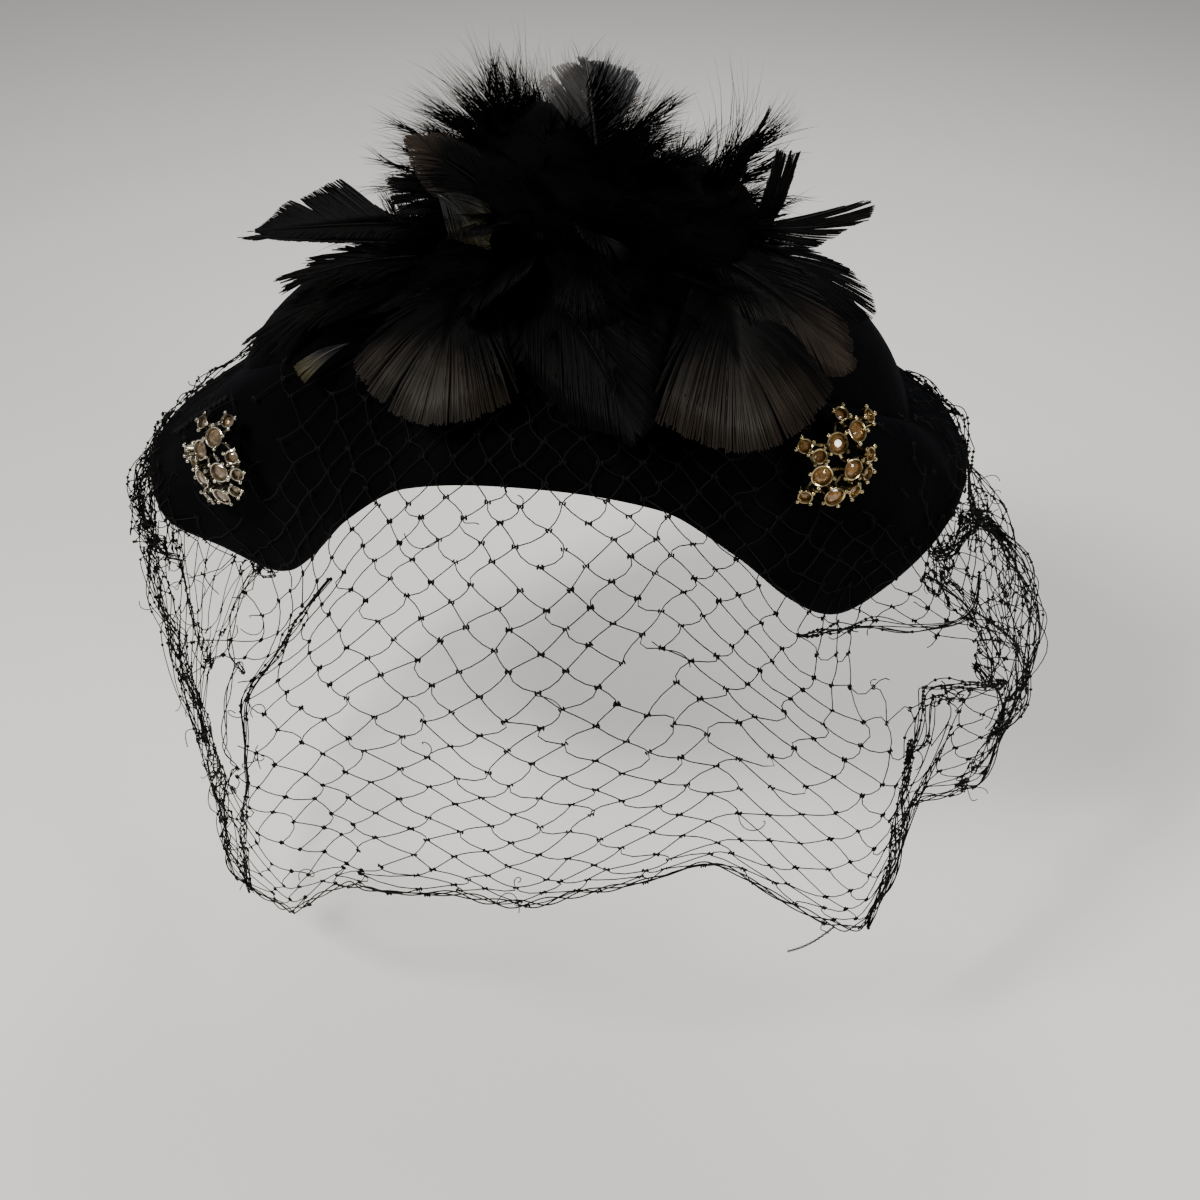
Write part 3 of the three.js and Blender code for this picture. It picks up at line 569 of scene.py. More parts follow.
def dressed(mesh: bpy.types.Mesh, name: str, material: bpy.types.Material) -> bpy.types.Object:
    """Puts a mesh in the scene.

    Args:
        mesh: the mesh.
        name: the object's name.
        material: its finish.

    Returns:
        The object.
    """
    mesh.materials.clear()
    mesh.materials.append(material)
    piece = bpy.data.objects.new(name, mesh)
    bpy.context.scene.collection.objects.link(piece)
    log.info("%s: %d faces", name, len(mesh.polygons))
    return piece


def stand_for(piece: bpy.types.Object, slot: str, *nodes: str) -> bpy.types.Object:
    """Fixes a piece to the body and lets it stand for nodes.

    Args:
        piece: the object.
        slot: not used.
        nodes: the nodes that it stands for.

    Returns:
        The object.
    """
    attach(piece, BODY)
    if nodes:
        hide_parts(*nodes)
    return piece


def unit(vectors: Array) -> Array:
    """Vectors of length 1."""
    return vectors / np.maximum(np.linalg.norm(vectors, axis=-1, keepdims=True), 1e-12)


def polar(azimuth: Array, radius: Array, z: Array) -> Array:
    """Points at azimuths, distances from the Z axis and heights."""
    angle = np.radians(azimuth)
    return np.stack(np.broadcast_arrays(radius * np.sin(angle), -radius * np.cos(angle), z), -1)


def tilted(azimuth: float, tilt: float) -> tuple[Array, Array]:
    """Level direction at an azimuth, and the same direction raised by a tilt in degrees.

    Args:
        azimuth: the azimuth.
        tilt: the tilt.

    Returns:
        Both directions.
    """
    level = polar(np.array(azimuth), 1.0, 0.0)
    angle = math.radians(tilt)
    return level, level * math.cos(angle) + np.array([0, 0, math.sin(angle)])


def ripple(points: Array, size: float, seed: float) -> Array:
    """Smooth noise from about -1 to 1 at points.

    Args:
        points: the points, in millimetres.
        size: the size of its lumps.
        seed: moves the pattern.

    Returns:
        One value for each point.
    """
    flat = points.reshape(-1, 3) / size + seed
    values = [noise.noise(Vector(point)) for point in flat]
    return np.array(values).reshape(points.shape[:-1]) * 1.8


# Form of the hat


@dataclass(frozen=True)
class Table:
    """Columns of sizes against azimuth, read smoothly between the rows."""

    columns: tuple[str, ...]
    rows: tuple[tuple[float, ...], ...]

    def value(self, column: str, azimuth: Array) -> Array:
        """Value of one column.

        Args:
            column: its name.
            azimuth: the azimuths.

        Returns:
            The values.
        """
        rows = np.array(self.rows, float)
        at, level = rows[:, 0], rows[:, 1 + self.columns.index(column)]
        order = np.arange(len(at))
        before, after = np.maximum(order - 1, 0), np.minimum(order + 1, len(at) - 1)
        slope = (level[after] - level[before]) / (at[after] - at[before])
        i = np.clip(np.searchsorted(at, azimuth, side="left") - 1, 0, len(at) - 2)
        span = at[i + 1] - at[i]
        t = np.clip((azimuth - at[i]) / span, 0, 1)
        rise = t * t * (3 - 2 * t)
        return (level[i] + (level[i + 1] - level[i]) * rise
                + span * slope[i] * t * (1 - t) ** 2 - span * slope[i + 1] * t * t * (1 - t))


JOIN_LINE = Table(("z",), (
    (-180, -36), (-120, -40), (-92, -38), (-78, -26), (-60, -10), (-30, -5), (0, -4),
    (30, -5), (60, -10), (78, -26), (92, -40), (120, -40), (180, -36),
))

BRIM_EDGE = Table(("leave", "arrive", "radius", "z"), (
    (-180, 40, 75, 86, -50), (-150, 38, 75, 93, -52), (-122, 46, 72, 106, -58),
    (-102, 44, 66, 121, -64), (-88, 42, 66, 127, -69), (-79, 36, 76, 121, -78),
    (-71, 32, 85, 103, -79), (-63, 30, 85, 88.5, -81), (-54, 30, 80, 82, -69),
    (-42, 30, 72, 77, -48), (-27, 30, 66, 71, -31), (0, 28, 64, 69, -23.5),
    (27, 30, 66, 71, -31), (42, 30, 72, 77, -48), (54, 30, 80, 83, -68),
    (64, 30, 85, 89, -79), (73, 28, 86, 99, -73), (83, 20, 85, 107.5, -67),
    (93, 12, 85, 113, -61), (103, 14, 80, 111, -55), (122, 28, 75, 102, -53),
    (150, 38, 75, 92, -51), (180, 40, 75, 86, -50),
))

VEIL_HANG = Table(("mid_radius", "mid_z", "hem_radius", "hem_z"), (
    (-116, 126, -92, 112, -124), (-98, 131, -98, 118, -150), (-80, 127.5, -104, 116, -182),
    (-66, 116.5, -112, 119, -195), (-56, 114.5, -111, 115.5, -193), (-46, 115, -108, 109, -188),
    (-32, 108, -90, 106, -156), (-19, 103, -80, 107, -138), (0, 100, -74, 102, -136),
    (15, 101, -74, 104, -128), (28, 105, -80, 106, -122), (40, 112, -92, 116, -142),
    (52, 119, -105, 121, -166), (60, 117.5, -106, 118, -161), (67, 121, -103, 115.5, -145),
    (74, 131.5, -107, 123, -149), (82, 136.5, -108, 129.5, -158), (90, 136, -102, 131, -138),
    (98, 133, -95, 126, -130), (112, 124, -86, 112, -116),
))


@dataclass(frozen=True)
class HatForm:
    """The outer faces of crown and brim as functions of azimuth and share."""

    half_width: float = 95
    front_depth: float = 70
    back_depth: float = 80
    base_z: float = -50
    squareness: float = 2.4
    wall: float = 3
    reach: float = 0.36
    fit_gap: float = 0.4

    def _crown_radius(self, azimuth: Array) -> Array:
        """Radius of the dome's base at azimuths.

        Args:
            azimuth: the azimuths.

        Returns:
            The radii.
        """
        angle = np.radians(azimuth)
        depth = np.where(np.cos(angle) > 0, self.front_depth, self.back_depth)
        return 1 / np.hypot(np.sin(angle) / self.half_width, np.cos(angle) / depth)

    def dome(self, azimuth: Array, share: Array) -> Array:
        """Points on the dome.

        Args:
            azimuth: the azimuths.
            share: the share of the way from its top to the line where the brim joins it.

        Returns:
            The points.
        """
        height = self.wall - self.base_z
        level = np.clip((JOIN_LINE.value("z", azimuth) - self.base_z) / height, 0, 1)
        angle = share * np.arccos(level ** (self.squareness / 2))
        out = np.sin(angle) ** (2 / self.squareness)
        up = np.cos(angle) ** (2 / self.squareness)
        return polar(azimuth, out * self._crown_radius(azimuth), self.base_z + up * height)

    def _section(self, azimuth: Array, share: Array) -> tuple[Array, Array]:
        """Brim's section in a plane of radius and height: points and directions along it.

        Args:
            azimuth: the azimuths.
            share: the share of the way from the join to the edge.

        Returns:
            The points as radius and height, and the directions.
        """
        join = self.dome(azimuth, np.ones_like(azimuth))
        start = np.stack([np.hypot(join[..., 0], join[..., 1]), join[..., 2] - self.fit_gap], -1)
        end = np.stack([BRIM_EDGE.value("radius", azimuth), BRIM_EDGE.value("z", azimuth)], -1)
        reach = np.linalg.norm(end - start, axis=-1) * self.reach

        def heading(column: str) -> Array:
            """Step of one end's handle."""
            angle = np.radians(BRIM_EDGE.value(column, azimuth))
            return np.stack([np.cos(angle), -np.sin(angle)], -1) * reach[..., None]

        second, third = start + heading("leave"), end - heading("arrive")
        t = share[..., None]
        point = (start * (1 - t) ** 3 + 3 * second * t * (1 - t) ** 2
                 + 3 * third * t * t * (1 - t) + end * t ** 3)
        along = ((second - start) * (1 - t) ** 2 + 2 * (third - second) * t * (1 - t)
                 + (end - third) * t * t)
        return point, unit(along)

    def brim(self, azimuth: Array, share: Array, lift: Array | float = 0) -> Array:
        """Points beside the brim's outer face.

        Args:
            azimuth: the azimuths.
            share: the share of the way from the join to the edge.
            lift: the distance from the face.

        Returns:
            The points.
        """
        azimuth, share, lift = np.broadcast_arrays(azimuth * 1.0, share * 1.0, lift * 1.0)
        point, along = self._section(azimuth, share)
        return polar(azimuth, point[..., 0] - along[..., 1] * lift, point[..., 1] + along[..., 0] * lift)

    def brim_normal(self, azimuth: float, share: float) -> Array:
        """Direction square to the brim's outer face.

        Args:
            azimuth: the azimuth.
            share: the share of the way from the join to the edge.

        Returns:
            The direction.
        """
        around = self.brim(azimuth + 0.5, share) - self.brim(azimuth - 0.5, share)
        down = self.brim(azimuth, share + 0.02) - self.brim(azimuth, share - 0.02)
        return unit(-np.cross(around, down))


class Cover:
    """Height of the hat's top face over the plan, to keep what lies on it outside it."""

    AZIMUTHS = 181
    RADII = 71
    RADIUS_STEP = 2.0
    SHARES = 24
    EDGE_MARGIN = 1.5

    def __init__(self, form: HatForm) -> None:
        """Measures the hat.

        Args:
            form: the hat.
        """
        shares = np.linspace(0, 1, self.SHARES)
        azimuths = np.linspace(-180, 180, self.AZIMUTHS)
        radii = np.arange(self.RADII) * self.RADIUS_STEP
        self.heights = np.empty((self.AZIMUTHS, self.RADII))
        self.edges = BRIM_EDGE.value("radius", azimuths)
        for i, azimuth in enumerate(azimuths):
            here = np.full(self.SHARES, azimuth)
            face = np.concatenate([form.dome(here, shares), form.brim(here, shares)])
            flat = np.maximum.accumulate(np.hypot(face[:, 0], face[:, 1]))
            self.heights[i] = np.interp(radii, flat, face[:, 2])

    def lift(self, points: Array, clear: Array | float, most: float = math.inf) -> Array:
        """Raises points that are too near the hat.

        Args:
            points: the points.
            clear: the least height over the hat.
            most: the most that a point is raised; past it, it is moved out beyond the edge.

        Returns:
            The points, moved up or out where they need it.
        """
        radius = np.hypot(points[..., 0], points[..., 1])
        azimuth = np.degrees(np.arctan2(points[..., 0], -points[..., 1]))
        column = (azimuth + 180) / 360 * (self.AZIMUTHS - 1)
        row = np.clip(radius / self.RADIUS_STEP, 0, self.RADII - 1.001)
        i, j = np.clip(column.astype(int), 0, self.AZIMUTHS - 2), row.astype(int)
        a, b = column - i, row - j
        low = self.heights[i, j] * (1 - b) + self.heights[i, j + 1] * b
        high = self.heights[i + 1, j] * (1 - b) + self.heights[i + 1, j + 1] * b
        floor = low * (1 - a) + high * a + clear
        edge = self.edges[i] + self.EDGE_MARGIN
        inside = radius < edge
        under = inside & (floor - points[..., 2] > most)
        raised = points.copy()
        raised[..., 2] = np.where(inside & ~under, np.maximum(points[..., 2], floor), points[..., 2])
        out = np.where(under, edge / np.maximum(radius, 1), 1)
        raised[..., :2] *= out[..., None]
        return raised


# Velvet


@dataclass
class VelvetHat:
    """Crown and brim: padded velvet over a stiff form."""

    form: HatForm
    finish: VelvetFinish = field(default_factory=VelvetFinish)
    stations: int = 216
    crown_rows: int = 12
    brim_rows: int = 18
    tuck: float = 1.04
    wall: float = 2.6
    dent: float = 0.7
    roll: float = 1.1

    def build(self) -> list[bpy.types.Object]:
        """Makes the crown and the brim.

        Returns:
            The two pieces.
        """
        material = self.finish.material()
        crown = self._shell("crown_velvet", self.crown_rows, self._crown_face, material)
        brim = self._shell("brim_velvet", self.brim_rows, self._brim_face, material)
        return [stand_for(crown, "velvet", "crown"), stand_for(brim, "velvet", "brim"), self._stitches()]

    def _stitches(self) -> bpy.types.Object:
        """Makes the row of small stitches that shows on the left lobe.

        Returns:
            The piece.
        """
        count = 13
        step = np.linspace(0, 1, count)
        azimuth = np.interp(step, [0, 0.5, 1], [-82.5, -78, -73])
        share = np.interp(step, [0, 0.5, 1], [0.56, 0.36, 0.24])
        here, ahead = (self.form.brim(azimuth + turn, share, 0.9) for turn in (0, 0.5))
        along = unit(ahead - here)
        out = unit(self.form.brim(azimuth, share, 2.0) - here)
        frames = np.zeros((count, 4, 4))
        for column, (axis, size) in enumerate(((along, 0.62), (np.cross(along, out), 1.1), (out, 0.6))):
            frames[:, :3, column] = axis * size
        frames[:, :3, 3] = here
        bundle = Bundle()
        bundle.place(Pattern.bead(10, 7), frames)
        return stand_for(bundle.build("brim_stitches", ThreadFinish("stitch_thread").material()), "net")

    def _crown_face(self, azimuth: Array, share: Array) -> Array:
        """Outer face of the crown, softly dented.

        Args:
            azimuth: the azimuths.
            share: the share of the way down from its top.

        Returns:
            The points.
        """
        share = share * self.tuck
        face = self.form.dome(azimuth, share)
        out = unit(face - np.array([0, 0, -40.0]))
        return face + out * (ripple(face, 34, 3.0) * self.dent * share)[..., None]

    def _brim_face(self, azimuth: Array, share: Array) -> Array:
        """Outer face of the brim, with a padded roll at its edge and soft dents.

        Args:
            azimuth: the azimuths.
            share: the share of the way from the join to the edge.

        Returns:
            The points.
        """
        edge = np.exp(-((share - 0.9) / 0.1) ** 2) * self.roll
        flat = self.form.brim(azimuth, share)
        tucks = np.sin(np.radians(azimuth) * 46 + 2.2 * ripple(flat, 30, 9.0))
        lobe = np.exp(-((np.abs(azimuth) - 100) / 16) ** 2)
        tuck = tucks * lobe * np.sin(math.pi * share) ** 2 * 0.5
        dents = ripple(flat, 24, 5.0) * self.dent * np.sin(math.pi * share)
        return self.form.brim(azimuth, share, edge + tuck + dents - 0.2)

    def _shell(self, name: str, rows: int, face: Callable[[Array, Array], Array],
               material: bpy.types.Material) -> bpy.types.Object:
        """Makes one shell from its outer face.

        Args:
            name: the piece's name.
            rows: rows of faces from its top to its rim.
            face: gives points of the face for azimuths and shares.
            material: the velvet.

        Returns:
            The object.
        """
        bm = bmesh.new()
        bmesh.ops.create_grid(bm, x_segments=self.stations, y_segments=rows, size=0.5)
        flat = np.array([vert.co[:] for vert in bm.verts])
        points = face(flat[:, 0] * 360, flat[:, 1] + 0.5) * MILLIMETRE
        for vert, point in zip(bm.verts, points):
            vert.co = point
        bmesh.ops.remove_doubles(bm, verts=bm.verts[:], dist=2e-5)
        bmesh.ops.dissolve_degenerate(bm, edges=bm.edges[:], dist=1e-6)
        bmesh.ops.recalc_face_normals(bm, faces=bm.faces[:])
        middle = sum((f.normal.dot(f.calc_center_median()) for f in bm.faces), 0.0)
        if middle < 0:
            bmesh.ops.reverse_faces(bm, faces=bm.faces[:])
        for piece in bm.faces:
            piece.smooth = True
        mesh = bpy.data.meshes.new(name)
        bm.to_mesh(mesh)
        bm.free()
        shell = dressed(mesh, name, material)
        wall = shell.modifiers.new("wall", "SOLIDIFY")
        wall.thickness = self.wall * MILLIMETRE
        wall.offset = -1
        soft = shell.modifiers.new("soft", "SUBSURF")
        soft.levels = soft.render_levels = 1
        return shell


# Netting


@dataclass(frozen=True)
class Fold:
    """A rope of gathered net along a path of places in the cloth, as shares of width and depth."""

    path: tuple[tuple[float, float], ...]
    strands: int
    loose: float


FOLDS = (
    Fold(((0.335, 0.335), (0.30, 0.38), (0.286, 0.43), (0.30, 0.50), (0.325, 0.58), (0.318, 0.68)), 6, 1.1),
    Fold(((0.318, 0.68), (0.295, 0.76), (0.277, 0.84), (0.262, 0.93), (0.262, 1.0)), 6, 1.3),
    Fold(((0.275, 0.70), (0.25, 0.76), (0.24, 0.84), (0.245, 0.92), (0.262, 1.0)), 7, 2.6),
    Fold(((0.098, 0.33), (0.116, 0.37), (0.132, 0.425), (0.152, 0.405), (0.17, 0.40)), 18, 3.6),
    Fold(((0.15, 0.42), (0.152, 0.50), (0.165, 0.58), (0.185, 0.66), (0.215, 0.74)), 12, 2.8),
    Fold(((0.10, 0.24), (0.09, 0.31), (0.112, 0.36), (0.134, 0.43)), 8, 2.2),
    Fold(((0.86, 0.31), (0.90, 0.33), (0.915, 0.38), (0.935, 0.42), (0.946, 0.482), (0.938, 0.56)), 16, 3.2),
    Fold(((0.938, 0.50), (0.93, 0.60), (0.90, 0.66), (0.875, 0.72), (0.842, 0.80)), 14, 3.2),
    Fold(((0.85, 0.66), (0.82, 0.665), (0.79, 0.66), (0.765, 0.67)), 9, 2.0),
    Fold(((0.775, 0.66), (0.763, 0.70), (0.76, 0.79), (0.765, 0.90), (0.745, 1.0)), 10, 1.9),
    Fold(((0.74, 0.40), (0.775, 0.42), (0.80, 0.46), (0.83, 0.49), (0.87, 0.48), (0.90, 0.47)), 6, 1.4),
    Fold(((0.99, 0.05), (0.975, 0.16), (0.955, 0.24), (0.94, 0.30)), 8, 2.0),
    Fold(((0.04, 0.13), (0.06, 0.19), (0.085, 0.23), (0.10, 0.28)), 3, 1.0),
)

# Where the net is torn or missing: azimuth, share of depth, and half the width of each
HOLES = (
    (20.0, 0.562, 4.5, 0.03), (-53.0, 0.60, 9.5, 0.085), (-70.0, 0.47, 6.0, 0.06),
    (70.5, 0.575, 6.5, 0.085),
)


@dataclass
class Veil:
    """Netting of knotted diamonds, gathered under the plume and hung over the brim."""

    form: HatForm
    cover: Cover
    finish: ThreadFinish = field(default_factory=ThreadFinish)
    first: float = -114
    last: float = 110
    start: float = 0.06
    lift: float = 1.5
    columns: int = 46
    rows: int = 32
    crumpled: int = 4
    crumpled_share: float = 0.07
    thread: float = 0.18
    knot: tuple[float, float, float] = (0.37, 0.37, 0.68)
    missing: float = 0.012
    fold_depth: float = 5.0
    thin_at_sides: float = 0.5
    thin_azimuth: float = 62
    thin_depth: float = 0.27
    torn_left: float = 0.4
    side_start: float = 0.24
    clear: float = 1.0
    most_raise: float = 8.0
    seed: int = 11
    flat_size: tuple[float, float] = (0.5, 0.2)
    thread_share: float = 0.36

    def build(self) -> list[bpy.types.Object]:
        """Makes the net.

        Returns:
            The piece.
        """
        self.random = np.random.default_rng(self.seed)
        self._hang()
        self._spread()
        bundle = Bundle()
        knots = self._knots(bundle)
        self._threads(bundle, knots)
        self._hem(bundle)
        self._ropes(bundle)
        self._curls(bundle, knots)
        net = bundle.build("veil_net", self.finish.material())
        stand_for(net, "net", "veil")
        return [net]

    def _hang(self) -> None:
        """Works out the surface that the net hangs on, even along its depth."""
        columns, over, free = 181, 20, 36
        azimuth = np.linspace(self.first, self.last, columns)
        share = np.linspace(self.start, 1, over)
        on_brim = self.form.brim(azimuth[:, None], share[None], self.lift)
        edge, along = on_brim[:, -1], unit(on_brim[:, -1] - on_brim[:, -2])
        middle, hem = (
            polar(azimuth, VEIL_HANG.value(f"{place}_radius", azimuth) + self.lift,
                  VEIL_HANG.value(f"{place}_z", azimuth))
            for place in ("mid", "hem")
        )
        gap = np.linalg.norm(middle - edge, axis=-1, keepdims=True)
        shoulder = (edge + along * gap * 0.5 + (edge + middle) / 2) / 2
        down = self._through([edge, shoulder, middle, hem], free)
        path = np.concatenate([on_brim, down[:, 1:]], 1)
        step = np.linalg.norm(np.diff(path, axis=1), axis=-1)
        reach = np.concatenate([np.zeros((columns, 1)), np.cumsum(step, 1)], 1)
        levels = np.linspace(0, 1, 101)
        self.surface = np.stack([
            np.stack([np.interp(levels * reach[i, -1], reach[i], path[i, :, k]) for k in range(3)], -1)
            for i in range(columns)
        ])

    def _spread(self) -> None:
        """Works out how the cloth's width is shared out: more of it at the sides."""
        self.levels = np.linspace(0, 1, 401)
        aside = np.clip((np.abs(self.levels - 0.5) - self.side_start) / 0.16, 0, 1)
        density = 1 + 1.8 * aside * aside * (3 - 2 * aside)
        total = np.concatenate([[0], np.cumsum((density[1:] + density[:-1]) / 2)])
        self.cloth_at = total / total[-1]

    def _through(self, points: list[Array], steps: int) -> Array:
        """Smooth paths through a few points.

        Args:
            points: the points, each for all the paths.
            steps: the steps of a whole path.

        Returns:
            The paths.
        """
        line = [2 * points[0] - points[1], *points, 2 * points[-1] - points[-2]]
        parts = []
        for a, b, c, d in zip(line, line[1:], line[2:], line[3:]):
            t = np.linspace(0, 1, steps // 3 + 1)[None, :, None]
            a, b, c, d = (p[:, None] for p in (a, b, c, d))
            parts.append(0.5 * (2 * b + (c - a) * t + (2 * a - 5 * b + 4 * c - d) * t * t
                                + (3 * b - a - 3 * c + d) * t ** 3))
        return np.concatenate([parts[0], *(part[:, 1:] for part in parts[1:])], 1)

    def _at(self, u: Array, v: Array, out: Array | float) -> Array:
        """Points of the hanging surface, moved out by a distance.

        Args:
            u: the share of its width.
            v: the share of its depth.
            out: the distance.

        Returns:
            The points.
        """
        columns, rows, _ = self.surface.shape
        column, row = np.clip(u, 0, 1) * (columns - 1), np.clip(v, 0, 1) * (rows - 1)
        i, j = np.minimum(column.astype(int), columns - 2), np.minimum(row.astype(int), rows - 2)
        a, b = (column - i)[..., None], (row - j)[..., None]
        point = ((self.surface[i, j] * (1 - b) + self.surface[i, j + 1] * b) * (1 - a)
                 + (self.surface[i + 1, j] * (1 - b) + self.surface[i + 1, j + 1] * b) * a)
        azimuth = self.first + (self.last - self.first) * u
        return point + polar(azimuth, out, 0 * out)

    def place(self, width: Array, v: Array, out: Array | float = 0) -> Array:
        """Points of the net.

        Args:
            width: the share of the cloth's width.
            v: the share of its depth.
            out: the distance outside it.

        Returns:
            The points.
        """
        u = np.interp(width, self.cloth_at, self.levels)
        side = np.clip((np.abs(u - 0.5) - self.side_start) / 0.18, 0, 1)
        free = np.clip((v - 0.3) / 0.3, 0, 1)
        phase = u * 98 + 1.4 * np.sin(v * 5 + u * 9)
        fold = side * (0.2 + 0.8 * free)
        bent = u + 0.017 * fold * np.sin(phase) + 0.003 * fold * np.sin(u * 231 + 9 * v)
        swing = np.cos(phase) * fold * self.fold_depth * 0.8 + np.sin(v * 23 + u * 160) * fold * 0.7
        swing = swing + np.sin(u * 67 + 1.7 * np.sin(v * 5)) * free * (1 - side) * self.fold_depth * 0.22
        return self._at(bent, v, out + swing)

    def _knots(self, bundle: Bundle) -> Array:
        """Adds the upright turns of thread of each knot.

        Args:
            bundle: takes the beads.

        Returns:
            The places of the knots in the cloth, as rows x columns x 2.
        """
        row, column = np.meshgrid(np.arange(self.rows + 1), np.arange(self.columns + 1), indexing="ij")
        width = (column + 0.5 * (row % 2)) / (self.columns + 0.5)
        depth = np.interp(row, [0, self.rows - self.crumpled, self.rows], [0, 1 - self.crumpled_share, 1])
        jitter = self.random.normal(0, 1, (*width.shape, 2))
        loose = np.where(row > self.rows - self.crumpled, 3.2, 1.0)
        slack = 1 + 1.4 * np.clip(np.abs(width - 0.5) * 3 - 0.75, 0, 1)
        cloth = np.stack([
            np.clip(width + jitter[..., 0] * 0.06 / self.columns * loose * slack, 0, 1),
            np.clip(depth + jitter[..., 1] * 0.1 / self.rows * slack * (row > 0), 0, 1),
        ], -1)
        centres = self._outside(cloth)
        self.there = self._kept(cloth, centres)
        beside = unit(self._outside(cloth + [0.002, 0]) - self._outside(cloth - [0.002, 0]))
        along = unit(self._outside(cloth + [0, 0.004]) - self._outside(cloth - [0, 0.004]))
        out = unit(np.cross(along, beside))
        bead = Pattern.bead(3, 3)
        size = self.random.uniform(0.85, 1.2, width.shape)[..., None]
        for way in (-1, 0, 1):
            tilt = self.random.normal(0, 0.3, width.shape)[..., None]
            axis = unit(beside + along * tilt)
            frames = np.zeros((*width.shape, 4, 4))
            frames[..., :3, 0] = axis * self.knot[0] * size
            frames[..., :3, 1] = out * self.knot[1] * size
            frames[..., :3, 2] = np.cross(axis, out) * self.knot[2] * size * (1.1 if way else 0.7)
            frames[..., :3, 3] = centres + axis * way * self.knot[0] * 1.7
            bundle.place(bead, frames[self.there])
        return cloth

    def _kept(self, cloth: Array, centres: Array) -> Array:
        """Which knots are there: none in the holes, and only some on the brim's sides.

        Args:
            cloth: the places of the knots in the cloth.
            centres: their points.

        Returns:
            Whether each is there.
        """
        azimuth = np.degrees(np.arctan2(centres[..., 0], -centres[..., 1]))
        kept = np.ones(azimuth.shape, bool)
        for turn, depth, half_turn, half_depth in HOLES:
            kept &= np.hypot((azimuth - turn) / half_turn, (cloth[..., 1] - depth) / half_depth) > 1
        side = (np.abs(azimuth) > self.thin_azimuth) & (cloth[..., 1] < self.thin_depth)
        return kept & ~(side & (self.random.random(kept.shape) < self.thin_at_sides))

    def _outside(self, cloth: Array) -> Array:
        """Points of the net for places in the cloth, kept off the velvet."""
        return self.cover.lift(self.place(cloth[..., 0], cloth[..., 1]), self.clear, self.most_raise)

    def _threads(self, bundle: Bundle, knots: Array) -> None:
        """Adds the threads from each knot to the two below it.

        Args:
            bundle: takes the threads.
            knots: the places of the knots in the cloth.
        """
        rings = 4
        pairs, kept = [], []
        for row in range(self.rows):
            aside = (np.s_[:-1], np.s_[1:]) if row % 2 else (np.s_[1:], np.s_[:-1])
            for here, below in ((np.s_[:], np.s_[:]), aside):
                pairs.append(np.stack([knots[row][here], knots[row + 1][below]], 1))
                kept.append(np.stack([self.there[row][here], self.there[row + 1][below]], 1))
        ends, there = np.concatenate(pairs), np.concatenate(kept)
        whole = there.all(1) & (self.random.random(len(ends)) > self.missing)
        torn = (there.sum(1) == 1) & (self.random.random(len(ends)) < self.torn_left)
        ends[there[:, 1]] = ends[there[:, 1]][:, ::-1]
        left = self.random.uniform(0.3, 0.9, (torn.sum(), 1))
        ends[torn, 1] = ends[torn, 0] + (ends[torn, 1] - ends[torn, 0]) * left
        ends = ends[whole | torn]
        t = np.linspace(0, 1, rings)[None, :, None]
        cloth = ends[:, :1] * (1 - t) + ends[:, 1:] * t
        bow = self.random.normal(0, 0.11, (len(ends), 1)) * np.sin(math.pi * t[..., 0])
        sag = self.random.uniform(0, 0.16, (len(ends), 1)) * np.sin(math.pi * t[..., 0])
        cloth[..., 0] += bow / self.columns
        cloth[..., 1] = np.clip(cloth[..., 1] + sag / self.rows, 0, 1)
        self._lay(bundle, self._outside(cloth), self.thread)

    def _lay(self, bundle: Bundle, centres: Array, radius: float) -> None:
        """Adds threads along paths of points.

        Args:
            bundle: takes the threads.
            centres: the paths, as threads x points x 3.
            radius: the radius of the thread.
        """
        along = unit(np.gradient(centres, axis=1))
        across = unit(np.cross(along, [0.13, 0.21, 0.97]))
        up = np.cross(along, across)
        size = np.full(centres.shape[:2], radius)
        own = self.random.random(len(centres))
        bundle.strands(Pattern.tube(3, centres.shape[1], False), centres, across, up, size, size, own)

    def _hem(self, bundle: Bundle) -> None:
        """Adds the doubled thread that ends the net.

        Args:
            bundle: takes the threads.
        """
        pieces, rings = 64, 13
        share = np.linspace(0, 1, pieces * (rings - 1) + 1)
        for phase in (0, 2.1, 4.2):
            turn = share * 190 + phase
            line = self.place(share, 1 - 0.006 * (1 + np.cos(turn)), 0.7 * np.sin(turn * 1.3))
            rows = np.stack([line[i * (rings - 1):(i + 1) * (rings - 1) + 1] for i in range(pieces)])
            self._lay(bundle, rows, self.thread * 1.2)
        begin, end = self._at(np.array([0.715, 0.685]), np.array([1.0, 1.0]), 0.0)
        t = np.linspace(0, 1, 25)[:, None]
        for phase in (0, math.pi):
            turn = t[:, 0] * 40 + phase
            line = begin + (end + [0, -2, -17] - begin) * t
            line = line + np.stack([0 * turn, np.cos(turn), np.sin(turn)], -1) * 0.3
            line[:, 2] -= np.sin(t[:, 0] * math.pi) * 2
            self._lay(bundle, line[None], self.thread)

